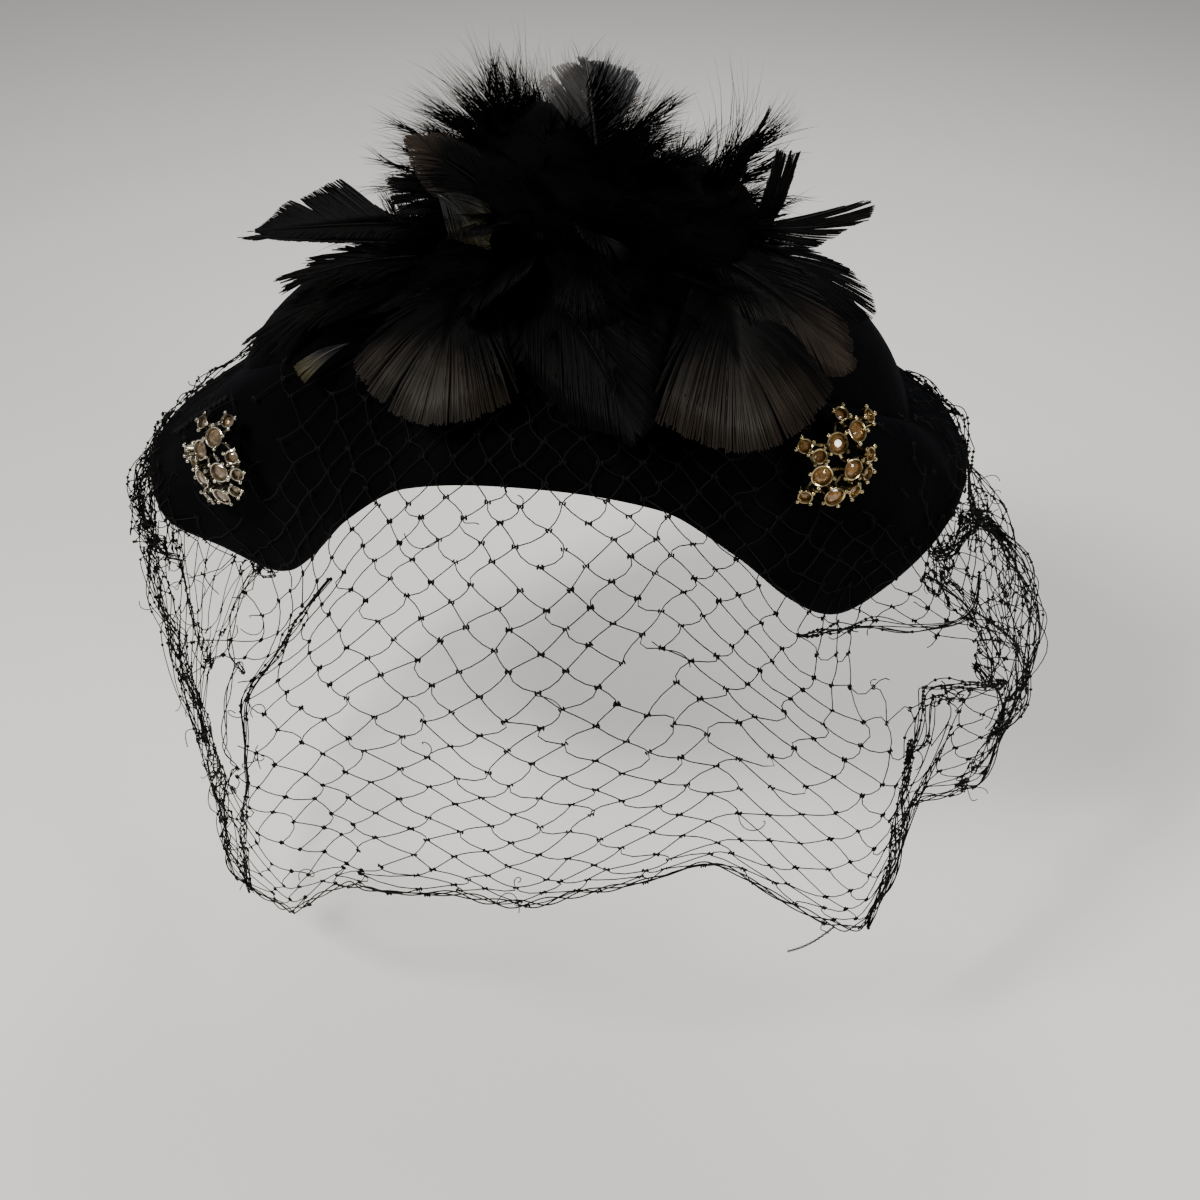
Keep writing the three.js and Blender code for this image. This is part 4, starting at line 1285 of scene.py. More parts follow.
    def _ropes(self, bundle: Bundle) -> None:
        """Adds the ropes of gathered threads, with the knots that are caught in them.

        Args:
            bundle: takes the threads and the knots.
        """
        bead, bead_size = Pattern.bead(4, 3), 0.55
        pieces, step, caught = 3, 12, 7
        count = pieces * step + 1
        for fold in FOLDS:
            path = np.array(fold.path)
            share = np.linspace(0, 1, count)
            at = np.linspace(0, 1, len(path))
            u, v = (self._smooth(np.interp(share, at, path[:, k])) for k in (0, 1))
            body = (0.35 + np.sin(math.pi * np.clip(share, 0.03, 0.97))) * fold.loose * 0.8
            for _ in range(fold.strands):
                wave = self.random.uniform(5, 22, (3, 2))
                shift = self.random.normal(0, 0.6, (3, 1))
                swing = [np.sin(share * wave[k, 0] + wave[k, 1]) * 0.75 + shift[k] for k in range(3)]
                line = self._at(u, v, swing[0] * body)
                around = unit(self._at(u + 0.01, v, 0.0) - self._at(u - 0.01, v, 0.0))
                line = line + around * (swing[1] * body)[:, None]
                line[:, 2] += swing[2] * body
                line = self.cover.lift(line, self.clear, self.most_raise / 2)
                parts = np.stack([line[k * step:(k + 1) * step + 1] for k in range(pieces)])
                self._lay(bundle, parts, self.thread)
                some = self.random.choice(count, caught, replace=False)
                frames = np.tile(np.eye(4), (caught, 1, 1))
                frames[:, :3, :3] *= bead_size
                frames[:, :3, 3] = line[some]
                bundle.place(bead, frames)

    def _by_hole(self, knots: Array) -> Array:
        """The knots that are there beside ones that are not, below the brim.

        Args:
            knots: the places of the knots in the cloth.

        Returns:
            The places of those knots.
        """
        gone = ~self.there & (knots[..., 1] > 0.3)
        near = gone.copy()
        near[1:] |= gone[:-1]
        near[:-1] |= gone[1:]
        return knots[near & self.there]

    def _smooth(self, values: Array) -> Array:
        """A row of values with its corners rounded."""
        padded = np.pad(values, 4, mode="reflect", reflect_type="odd")
        return np.convolve(padded, np.hanning(11)[1:-1] / np.hanning(11).sum(), mode="valid")

    def _curls(self, bundle: Bundle, knots: Array) -> None:
        """Adds the loose ends that curl out of the net.

        Args:
            bundle: takes the threads.
            knots: the places of the knots in the cloth.
        """
        count, rings = 120, 12
        flat = knots.reshape(-1, 2)
        flat, beside = flat[self.there.ravel()], self._by_hole(knots)
        place = np.interp(flat[:, 0], self.cloth_at, self.levels)
        edge = flat[(flat[:, 1] > 0.93) | (place < 0.2) | (place > 0.86)]
        some = np.concatenate([edge[self.random.integers(0, len(edge), count * 6 // 10)],
                               flat[self.random.integers(0, len(flat), count // 5)],
                               beside[self.random.integers(0, len(beside), count // 5)]])
        start = self._outside(some)
        t = np.linspace(0, 1, rings)[None, :, None]
        azimuth = self.first + (self.last - self.first) * np.interp(some[:, 0], self.cloth_at, self.levels)
        heading = unit(self.random.normal(0, 1, (len(start), 1, 3)) + polar(azimuth, 0.6, -0.3)[:, None])
        side = unit(np.cross(heading, self.random.normal(0, 1, (len(start), 1, 3))))
        length = self.random.uniform(2, 8, (len(start), 1, 1))
        swing = self.random.uniform(2, 6, (len(start), 1, 1))
        path = (start[:, None] + heading * length * t
                + side * np.sin(t * swing) * length * 0.35
                + np.cross(heading, side) * (1 - np.cos(t * swing)) * length * 0.3)
        self._lay(bundle, self.cover.lift(path, self.clear, self.most_raise), self.thread * 0.9)


# Feathers


class End(Enum):
    """How a feather ends."""

    VANE = "vane"
    CUT = "cut"
    FAN = "fan"
    WISP = "wisp"
    WING = "wing"


class Tone(Enum):
    """Colour of a feather."""

    BLACK = "black"
    GREY = "grey"
    BRONZE = "bronze"
    OLIVE = "olive"


@dataclass(frozen=True)
class Lay:
    """How barbs lie: where on the quill they start, their angles to it, and how they cling."""

    first: float
    last: float
    base_angle: float
    tip_angle: float
    clump: float
    cover: float
    stray: float
    fray: float


LAYS = {
    End.VANE: Lay(0.0, 0.94, 33, 13, 0.12, 0.95, 0.5, 0.03),
    End.FAN: Lay(0.0, 0.62, 56, 1, 0.14, 0.95, 0.5, 0.03),
    End.CUT: Lay(0.0, 0.7, 15, 2, 0.10, 0.95, 0.35, 0.02),
    End.WISP: Lay(0.0, 0.8, 26, 3, 0.9, 0.42, 1.6, 0.35),
    End.WING: Lay(0.0, 0.94, 52, 25, 0.1, 0.95, 0.4, 0.02),
}


@dataclass(frozen=True)
class FeatherShape:
    """One feather: root and tip, how far its middle lifts, its width and its end.

    A positive bias widens its left side and narrows its right one. An outline gives the share of
    the width at even steps from root to tip, and a left outline that of its left side. The split
    is how far its fingers part.
    """

    name: str
    root: tuple[float, float, float]
    tip: tuple[float, float, float]
    lift: float
    width: float
    end: End
    fingers: int
    face: tuple[float, float, float]
    tone: Tone
    bias: float = 0.0
    outline: tuple[float, ...] = ()
    split: float = 1.0
    left_outline: tuple[float, ...] = ()


FEATHERS = (
    FeatherShape("front_left_fan", (-18, -26, 10), (-25, -66, -9), 6, 41, End.FAN, 5, (0, -0.5, 0.9),
                 Tone.BRONZE),
    FeatherShape("front_middle", (-6, -26, 11), (27, -66, -10), 7, 32, End.VANE, 2, (0, -0.5, 0.9),
                 Tone.BLACK),
    FeatherShape("front_right_fan", (38, -24, 12), (54, -62, -12), 6, 45, End.FAN, 5, (0.2, -0.5, 0.9),
                 Tone.BRONZE),
    FeatherShape("right_bronze", (36, -20, 17), (75, -37, -5), 5, 24, End.VANE, 3, (0.4, -0.5, 0.8),
                 Tone.BRONZE),
    FeatherShape("right_spiked", (36, -14, 18), (79, -22, 3), 4, 17, End.FAN, 4, (0.3, -0.4, 0.8),
                 Tone.BLACK),
    FeatherShape("right_strips", (38, -11, 20), (76, -20, 28), -2, 12, End.CUT, 3, (0, -0.6, 0.8),
                 Tone.BLACK, 0.0, (0.3, 0.7, 1, 1, 1, 1, 1, 0.8, 0.4, 0.1, 0.0), 5.0,
                 (0.3, 0.6, 0.8, 0.8, 0.7, 0.6, 0.6, 0.7, 0.8, 0.8, 0.7)),
    FeatherShape("right_hook", (48, -9, 18), (55, -17, 42), -5, 6, End.CUT, 1, (0.3, -0.9, 0.1), Tone.BLACK,
                 split=0.0),
    FeatherShape("right_wisp", (38, -10, 27), (52, -21, 60), -4, 4.4, End.WISP, 1, (0, -0.9, 0.3),
                 Tone.BLACK, 0.0, (1, 1, 1, 0.95, 0.85, 0.7, 0.55, 0.42, 0.3, 0.18, 0.05), 0.5),
    FeatherShape("top_vane", (10, -14, 34), (8, -21, 63), 2, 25, End.VANE, 2, (0, -1, 0.2), Tone.GREY),
    FeatherShape("left_wing", (-26, -12, 16), (-79, -22, 15), 1, 17.6, End.WING, 1, (0, -0.7, 0.7),
                 Tone.BLACK, -0.5, (0.1, 0.12, 0.14, 0.16, 0.4, 1.0, 0.86, 0.68, 0.48, 0.24, 0.0), 0.0,
                 (1, 1, 1, 1, 0.95, 0.9, 0.85, 0.8, 0.75, 0.6, 0.1)),
    FeatherShape("left_low", (-28, -14, 11), (-81, -24, 14.3), 1, 4, End.VANE, 1, (0, -0.5, 0.9),
                 Tone.BLACK),
    FeatherShape("left_strips", (-18, -13, 22), (-41, -19, 25), 2, 10, End.CUT, 2, (0, -0.8, 0.5),
                 Tone.BLACK, split=4.0),
    FeatherShape("left_bronze", (-9, -22, 24), (-35, -26, 44), 2, 15, End.VANE, 2, (0.1, -0.9, 0.4),
                 Tone.BRONZE, 0.2, (0.2, 0.5, 0.8, 0.95, 1.0, 1.0, 0.95, 0.85, 0.7, 0.45, 0.1), 0.5),
    FeatherShape("left_olive", (-26, -30, 32), (-13, -34, 20), 2, 14, End.VANE, 2, (0.1, -0.8, 0.6),
                 Tone.OLIVE, 0.0, (0.5, 0.8, 1.0, 1.0, 1.0, 0.95, 0.85, 0.7, 0.5, 0.3, 0.05), 0.5),
    FeatherShape("left_sweep_1", (-26, -18, 10), (-72, -24, 1), 3, 13, End.WISP, 3, (0, -0.5, 0.9),
                 Tone.BLACK),
    FeatherShape("left_sweep_2", (-26, -22, 6), (-82, -28, -17), 7, 15, End.WISP, 3, (-0.2, -0.5, 0.9),
                 Tone.BLACK),
    FeatherShape("left_sweep_3", (-50, -37, -6), (-62, -43.5, -12), 1, 6, End.CUT, 2, (-0.2, -0.5, 0.9),
                 Tone.OLIVE),
)

# the first colour of each finish is the one at the quill: partly the barbs' own dark colour, partly painted
# shade
FEATHER_FINISHES = {
    Tone.BLACK: FeatherFinish("feather_black", (0.0008, 0.0008, 0.0008), (0.004, 0.0034, 0.003),
                              (0.0032, 0.0032, 0.0038), gloss=0.5, specular=0.09),
    Tone.GREY: FeatherFinish("feather_grey", (0.008, 0.008, 0.008), (0.105, 0.10, 0.097),
                             (0.12, 0.12, 0.123), start=0.0),
    Tone.BRONZE: FeatherFinish("feather_bronze", (0.0012, 0.001, 0.0009), (0.034, 0.025, 0.018),
                               (0.040, 0.036, 0.030), specular=0.11, start=0.62, rise=2.8, lean=20, sink=40),
    Tone.OLIVE: FeatherFinish("feather_olive", (0.001, 0.001, 0.0009), (0.036, 0.034, 0.029),
                              (0.050, 0.044, 0.018), start=0.5, rise=3.0),
}


@dataclass
class Vane:
    """Cuts the barbs of a feather to its outline and bends them along its quill."""

    shape: FeatherShape
    barbs: int
    rings: int
    random: np.random.Generator
    cup: float = 0.006
    barb_thickness: float = 0.08
    quill_radius: float = 0.45
    checks: int = 240
    curl: float = 0.08
    longest: float = 1.15

    def __post_init__(self) -> None:
        """Works out the quill."""
        self.root, self.tip = np.array(self.shape.root, float), np.array(self.shape.tip, float)
        self.middle = (self.root + self.tip) / 2 + [0, 0, self.shape.lift * 2]
        self.length = float(np.linalg.norm(self.tip - self.root))
        self.lay = LAYS[self.shape.end]

    def _half(self, t: Array, way: float) -> Array:
        """Half the vane's width at shares of its length, on one side.

        Args:
            t: the shares of its length.
            way: the side, -1 or 1.

        Returns:
            The half widths.
        """
        grow = np.minimum(1, 0.25 + 1.5 * t)
        outline = self.shape.left_outline if way > 0 and self.shape.left_outline else self.shape.outline
        if outline:
            share = np.interp(t, np.linspace(0, 1, len(outline)), outline)
        elif self.shape.end is End.CUT:
            share = grow
        elif self.shape.end is End.FAN:
            share = np.minimum(1, 0.12 + 1.15 * t)
        else:
            fall = np.where(t > 0.45, ((t - 0.45) / 0.62) ** 2, 0)
            share = grow * np.sqrt(np.maximum(0, 1 - fall))
        return share * self.shape.width / 2 * (1 + self.shape.bias * way)

    def _inside(self, x: Array, y: Array, way: float) -> Array:
        """Whether places on the flat vane are inside its outline.

        Args:
            x: the distance along the quill.
            y: the distance to its side.
            way: the side, -1 or 1.

        Returns:
            Whether each place is inside.
        """
        t = x / self.length
        half = self._half(np.clip(t, 0, 1), way)
        bow = 0.0 if self.shape.end is End.CUT else 0.2
        return (y <= half) & (t <= 1 - bow * (y / np.maximum(half, 1e-6)) ** 2)

    def bend(self, x: Array, y: Array, height: Array | float) -> tuple[Array, Array, Array]:
        """Bends flat places along the quill.

        Args:
            x: the distance along it.
            y: the distance to its side.
            height: the distance over its face.

        Returns:
            Points, and the directions along the quill and up from the face.
        """
        t = np.clip(x / self.length, 0, 1)[..., None]
        point = self.root * (1 - t) ** 2 + 2 * self.middle * t * (1 - t) + self.tip * t * t
        along = unit((self.middle - self.root) * (1 - t) + (self.tip - self.middle) * t)
        side = unit(np.cross(np.array(self.shape.face, float), along))
        up = np.cross(along, side)
        over = (height - self.cup * y * y)[..., None]
        rest = (x - t[..., 0] * self.length)[..., None]
        return point + along * rest + side * y[..., None] + up * over, along, up

    def add_to(self, bundle: Bundle, quill: bool = True) -> None:
        """Adds the barbs and the quill.

        Args:
            bundle: takes them.
            quill: whether the quill is made too.
        """
        for way in (-1.0, 1.0):
            self._add_side(bundle, way)
        if quill:
            self._add_quill(bundle)

    def _add_side(self, bundle: Bundle, way: float) -> None:
        """Adds the barbs of one side.

        Args:
            bundle: takes the barbs.
            way: the side, -1 or 1.
        """
        lay, count = self.lay, self.barbs
        rank = (np.arange(count) + 0.5) / count
        share = lay.first + (lay.last - lay.first) * rank
        groups = max(2, self.shape.fingers * 2)
        marks = np.sort(self.random.uniform(0.08, 0.98, groups - 1))
        group = np.searchsorted(marks, rank)
        turn = self.random.normal(0, lay.stray * 2.4 * min(self.shape.split, 1), groups)
        turn = (turn + np.linspace(1, -1, groups) * max(self.shape.split - 1, 0))[group]
        raised = self.random.normal(0, 0.5, groups)[group] * min(self.shape.split, 1)
        centre = np.array([share[group == g].mean() if (group == g).any() else 0 for g in range(groups)])
        base = share * self.length
        stray = self.random.normal(0, lay.stray, count)
        angle = lay.base_angle + (lay.tip_angle - lay.base_angle) * rank ** 1.15
        angle = np.radians(np.maximum(angle + turn + stray, 0.5))[:, None]

        def bare(s: Array) -> tuple[Array, Array]:
            """Places at shares of the longest barb, before it clings to those beside it.

            Args:
                s: the shares.

            Returns:
                The places along the quill and to its side.
            """
            far = s * (self.length * self.longest)
            return (base[:, None] + far * np.cos(angle) + far * s * self.curl,
                    far * np.sin(angle) * (1 - 0.1 * s))

        steps = np.linspace(0, 1, self.checks)[None]
        x, y = bare(steps)
        stop = np.argmax(~self._inside(x, y, way) | (steps >= 1), axis=1) / (self.checks - 1)
        stop = np.maximum(stop, 0.02) * (1 - lay.fray * self.random.random(count) ** 2)
        s = np.linspace(0, 1, self.rings)[None] * stop[:, None]
        part = s / stop[:, None]
        pull = (centre[group] - share)[:, None] * self.length * lay.clump * part ** 2
        wave = self.random.normal(0, lay.stray * 0.16, (count, 1)) * np.sin(part * math.pi) * stop[:, None]
        x, y = bare(s)
        x, y = x + pull, y + wave * 4
        height = raised[:, None] * part ** 2 + self.random.normal(0, lay.stray * 0.25, (count, 1)) * part ** 2
        centres, along, up = self.bend(x, y * way, height)
        run = unit(np.gradient(centres, axis=1))
        across = unit(np.cross(run, up))
        apart = np.diff(centres, axis=0, append=2 * centres[-1:] - centres[-2:-1])
        apart -= run * (apart * run).sum(-1, keepdims=True)
        gap = np.linalg.norm(apart, axis=-1)
        gap = np.minimum(gap, np.median(gap, axis=0, keepdims=True) * 2.6)
        taper = 1 - 0.6 * np.linspace(0, 1, self.rings)[None] ** 8
        wide = gap * lay.cover * taper
        thick = np.full_like(wide, self.barb_thickness)
        lean = across * math.cos(0.2) + up * math.sin(0.2)
        pattern = Pattern.tube(3, self.rings, True)
        bundle.strands(pattern, centres, lean, np.cross(run, lean), wide, thick,
                       self.random.random(count), np.clip(x / self.length, 0, 1))

    def _add_quill(self, bundle: Bundle) -> None:
        """Adds the quill, thick at its root.

        Args:
            bundle: takes the quill.
        """
        rings = 10
        end = min(0.985, self.lay.last + 0.06)
        x = np.linspace(-0.02, end, rings)[None] * self.length
        centres, along, up = self.bend(x, np.zeros_like(x), np.full_like(x, 0.1))
        size = np.linspace(1, 0.25, rings)[None] * self.quill_radius
        pattern = Pattern.tube(6, rings, True)
        bundle.strands(pattern, centres, np.cross(up, along), up, size, size, np.array([0.3]))


@dataclass(frozen=True)
class Tier:
    """A ring of short feathers: how many, between which azimuths, from where, and their size."""

    count: int
    first: float
    last: float
    x: float
    z: float
    tilt: float
    length: float
    width: float
    droop: float


TIERS = (
    (Tier(30, -100, -50, 2, 2, -6, 54, 13, 12), Tier(28, -48, 48, 2, 2, -4, 36, 13, 8),
     Tier(28, 50, 96, 2, 2, -6, 50, 13, 12), Tier(44, 100, 180, 2, 2, -6, 48, 14, 16)),
    (Tier(44, 180, 260, 2, 2, -6, 48, 14, 16), Tier(84, 0, 350, 2, 10, 18, 44, 13, 6)),
    (Tier(62, -170, 180, -4, 20, 32, 32, 12, 2), Tier(34, -170, 180, 28, 14, 38, 22, 11, 0),
     Tier(26, 20, 340, -6, 28, 62, 20, 11, 0)),
)


@dataclass(frozen=True)
class Burst:
    """Long hairs of a half feather, from a curved quill, between two headings."""

    start: tuple[float, float, float]
    end: tuple[float, float, float]
    first: tuple[float, float, float]
    last: tuple[float, float, float]
    length: tuple[float, float]
    count: int
    cling: float = 0.5
    loose: float = 0.09
    curl: float = 0.12
    size: float = 0.14


BURSTS = (
    Burst((-4, -10, 34), (-22, -14, 34), (-0.2, 0.0, 1.0), (-1.0, -0.1, 0.16), (27, 25), 300),
    Burst((-2, -6, 34), (-24, -8, 38), (-0.1, 0.2, 1.0), (-1.0, 0.2, 0.35), (25, 22), 220),
    Burst((-8, -12, 42), (-18, -13, 44), (0.0, 0.0, 1.0), (-0.7, 0.0, 0.7), (27, 19), 60, 0.9, 0.16, 0.25),
    Burst((12, -19, 38), (10, -23, 57), (0.9, -0.1, 0.3), (0.5, -0.1, 0.9), (18, 10), 240, 0.85),
    Burst((8, -8, 36), (9, -10, 52), (1.0, 0.2, 0.15), (0.4, 0.2, 0.9), (20, 10), 200, 0.7),
    Burst((12, -12, 28), (26, -12, 30), (0.6, 0.0, 0.8), (0.95, 0.0, 0.45), (22, 14), 320, 0.1, 0.22, 0.3,
          0.09),
    Burst((24, -10, 28), (42, -10, 24), (0.35, 0.0, 0.9), (0.7, 0.0, 0.75), (14, 9), 260, 0.1, 0.25, 0.3,
          0.09),
    Burst((-30, -15, 20), (-42, -18, 20), (0.1, 0.0, 1.0), (-0.45, 0.0, 0.9), (13, 9), 110, 0.8),
    Burst((34, -10, 28), (39, -12, 30), (0.5, 0.0, 1.0), (0.8, -0.1, 0.7), (29, 29), 60, 0.98, 0.03, 0.5,
          0.2),
    Burst((42, -14, 36), (45, -15, 42), (0.85, -0.22, 0.5), (0.76, -0.22, 0.62), (20, 18), 56, 0.99, 0.02,
          0.3, 0.22),
    Burst((44, -13, 32), (49, -15, 38), (0.9, -0.3, 0.35), (0.8, -0.3, 0.5), (12, 10), 40, 0.98, 0.03, 0.3,
          0.2),
    Burst((-20, -16, 12), (-40, -22, 4), (-1.0, -0.1, 0.0), (-0.95, -0.2, -0.35), (36, 30), 300, 0.55),
    Burst((-32, -14, 8), (-54, -20, -2), (-1.0, -0.1, -0.05), (-0.9, -0.3, -0.5), (33, 24), 420, 0.6, 0.08,
          0.12, 0.2),
    Burst((-14, -12, 22), (-24, -17, 15), (-1.0, -0.1, 0.1), (-1.0, -0.15, -0.1), (25, 23), 240, 0.5, 0.1,
          0.12, 0.2),
    Burst((-20, -22, 8), (-44, -28, -2), (-1.0, -0.2, -0.1), (-0.85, -0.4, -0.5), (34, 24), 280, 0.6),
    Burst((-14, -30, 6), (-30, -40, -2), (-0.9, -0.5, -0.1), (-0.4, -0.9, -0.35), (20, 16), 160, 0.6),
    Burst((40, -12, 16), (52, -18, 8), (0.95, 0.0, 0.25), (0.9, -0.1, -0.35), (22, 18), 160, 0.7),
    Burst((0, 14, 16), (-30, 14, 12), (-0.4, 0.9, 0.4), (-1.0, 0.5, 0.1), (32, 30), 260, 0.5),
    Burst((4, 14, 16), (32, 12, 12), (0.4, 0.9, 0.4), (1.0, 0.5, 0.1), (30, 30), 260, 0.5),
    Burst((-14, 4, 34), (16, 4, 32), (-0.6, 0.6, 0.7), (0.6, 0.6, 0.6), (24, 22), 260, 0.5),
)

# Broad dark feathers all round the mass: azimuth, tilt, start, length, width
COVERTS = (
    (-78, 6, 12, 42, 22), (-64, 0, 16, 44, 20), (-50, 10, 14, 36, 22), (-36, 4, 12, 36, 24),
    (-20, 14, 12, 30, 22), (-6, 4, 14, 32, 24), (8, 12, 12, 30, 22), (22, 2, 14, 34, 24),
    (36, 12, 14, 34, 22), (50, 4, 16, 40, 22), (64, 10, 16, 42, 20), (80, 2, 14, 42, 22),
    (104, 6, 12, 42, 22), (130, 0, 12, 42, 24), (156, 8, 12, 42, 22), (182, 2, 12, 44, 24),
    (208, 8, 12, 42, 22), (234, 0, 12, 42, 24), (260, 6, 12, 42, 22), (-44, 34, 10, 30, 18),
    (-8, 40, 10, 26, 18), (30, 34, 12, 28, 18), (90, 36, 10, 30, 18), (150, 34, 10, 30, 18),
    (210, 36, 10, 30, 18),
)

# The dark mass that the feathers are sewn to: centre and half sizes
MASS = (
    ((3, -8, 2), (46, 33, 20)), ((-3, -10, 24), (25, 19, 22)), ((30, -8, 14), (22, 19, 17)),
    ((0, 14, 6), (36, 26, 16)),
)


@dataclass
class Plume:
    """The feathers: a mass of hackles, hairs and down, and the single feathers out of it."""

    cover: Cover
    seed: int = 5
    barb_gap: float = 0.34
    covert_gap: float = 0.5
    clear: float = 1.8
    hair: float = 0.14
    fine_hair: float = 0.09

    def build(self) -> list[bpy.types.Object]:
        """Makes the plume.

        Returns:
            Its pieces.
        """
        materials = {tone: finish.material() for tone, finish in FEATHER_FINISHES.items()}
        # the down is darkest at its roots too: partly its own colour, partly painted shade
        self.down = FeatherFinish("down", (0.0008, 0.0008, 0.0008), (0.003, 0.0025, 0.0022),
                                  (0.0026, 0.0026, 0.003), 40.0, 0.8, 0.03).material()
        pieces = [self._feather(shape, materials[shape.tone]) for shape in FEATHERS]
        pieces += [self._hackles(number, tiers) for number, tiers in enumerate(TIERS, 1)]
        pieces += [self._coverts(materials[Tone.BLACK]), self._bursts(), self._down()]
        return pieces + [self._base()]

    def _finish(self, bundle: Bundle, name: str, material: bpy.types.Material, slot: str,
                *nodes: str) -> bpy.types.Object:
        """Keeps a bundle off the hat and makes its piece."""
        bundle.points = [self.cover.lift(points, self.clear) for points in bundle.points]
        return stand_for(bundle.build(name, material), slot, *nodes)

    def _feather(self, shape: FeatherShape, material: bpy.types.Material) -> bpy.types.Object:
        """Makes one of the single feathers.

        Args:
            shape: its shape.
            material: its finish.

        Returns:
            The object.
        """
        random = np.random.default_rng(self.seed + len(shape.name) * 7 + shape.fingers)
        size = max(math.dist(shape.root, shape.tip), shape.width)
        bundle = Bundle()
        Vane(shape, int(size / self.barb_gap), 6, random).add_to(bundle, shape.end is not End.FAN)
        return self._finish(bundle, f"plume_{shape.name}", material, f"feather_{shape.tone.value}",
                            f"feather_{shape.name}")

    def _base(self) -> bpy.types.Object:
        """Makes the dark mass under the feathers.

        Returns:
            The object.
        """
        bundle = Bundle()
        ball = Pattern.bead(40, 24)
        for centre, half in MASS:
            points = ball.points * half
            points = points * (1 + 0.1 * ripple(points + centre, 9, 2.0))[:, None] + centre
            bundle.add(ball, points[None])
        return self._finish(bundle, "plume_base", self.down, "down")

    def _hackles(self, number: int, tiers: Sequence[Tier]) -> bpy.types.Object:
        """Makes some tiers of hackles as one piece.

        Args:
            number: the number of the piece.
            tiers: the tiers.

        Returns:
            The object.
        """
        random = np.random.default_rng(self.seed * number)
        bundle = Bundle()
        for tier in tiers:
            for i in range(tier.count):
                self._hackle(bundle, tier, (i + 0.5) / tier.count, random)
        nodes = ("plume_core",) if number == 1 else ()
        return self._finish(bundle, f"plume_hackles_{number}", self.down, "down", *nodes)

    def _hackle(self, bundle: Bundle, tier: Tier, rank: float, random: np.random.Generator) -> None:
        """Adds one hackle: a curved quill with soft hairs on both sides.

        Args:
            bundle: takes the hairs.
            tier: its tier.
            rank: the share of the way round it.
            random: the tier's source of chance.
        """
        azimuth = tier.first + (tier.last - tier.first) * rank + random.normal(0, 8)
        flat, heading = tilted(azimuth, tier.tilt + random.normal(0, 13))
        size = tier.length * random.uniform(0.7, 1.1)
        root = np.array([tier.x, -6, tier.z]) + flat * tier.width * 0.5 + random.normal(0, 3, 3)
        drop = np.array([0, 0, tier.droop * random.uniform(0.6, 1.3)])
        aside = unit(np.cross(heading, [0, 0, 1]))
        bend = aside * random.normal(0, 7)
        hairs, t = 30, np.linspace(0, 1, 3)[None, :, None]

        def quill(s: Array) -> Array:
            """Points of the quill at shares of its length."""
            return root + heading * size * s - drop * s * s + bend * s * (1 - s) + bend * s * 0.5

        for way in (-1, 1):
            share = (np.arange(hairs)[:, None, None] + random.random((hairs, 1, 1))) / hairs
            along = unit(quill(share + 0.02) - quill(share))
            length = tier.width * random.uniform(0.8, 1.5, share.shape) * (1.15 - 0.5 * share)
            spread = 0.55 - 0.3 * share + random.normal(0, 0.09, share.shape)
            clump = np.round(share * 9) / 9 - share
            out = unit(along + aside * way * spread + random.normal(0, 0.06, (hairs, 1, 3)))
            curve = random.normal(0, 0.1, (hairs, 1, 3)) - [0, 0, 0.12]
            path = (quill(share) + out * length * t + curve * length * t * t
                    + along * clump * size * 0.4 * t * t)
            self._hairs(bundle, path, self.hair, random)

    def _hairs(self, bundle: Bundle, path: Array, size: float, random: np.random.Generator) -> None:
        """Adds fine hairs along paths, thinner at their tips.

        Args:
            bundle: takes the hairs.
            path: the paths, as hairs x points x 3.
            size: half the thickness.
            random: gives each hair its own number.
        """
        run = unit(np.gradient(path, axis=1))
        across = unit(np.cross(run, [0.2, 0.1, 0.97]))
        rings = path.shape[1]
        thick = np.full(path.shape[:2], size)
        bundle.strands(Pattern.tube(3, rings, True, 0.0), path, across, np.cross(run, across), thick, thick,
                       random.random(len(path)))

    def _coverts(self, material: bpy.types.Material) -> bpy.types.Object:
        """Makes the broad dark feathers over the mass.

        Args:
            material: their finish.

        Returns:
            The object.
        """
        random = np.random.default_rng(self.seed + 1)
        bundle = Bundle()
        for number, (azimuth, tilt, start, length, width) in enumerate(COVERTS):
            flat, heading = tilted(float(azimuth), tilt)
            middle = np.array([2, -8, 6 + tilt * 0.45])
            root = middle + flat * start + random.normal(0, 2, 3)
            tip = root + heading * length - np.array([0, 0, 12.0]) + random.normal(0, 3, 3)
            face = np.cross(np.cross(heading, [0, 0, 1]), heading) + random.normal(0, 0.25, 3)
            shape = FeatherShape("covert", tuple(root), tuple(tip), 5, width,
                                 End.FAN if number % 3 == 0 else End.VANE, 3, tuple(face), Tone.BLACK)
            Vane(shape, int(max(length, width) / self.covert_gap), 5, random).add_to(bundle, False)
        return self._finish(bundle, "plume_coverts", material, "feather_black")

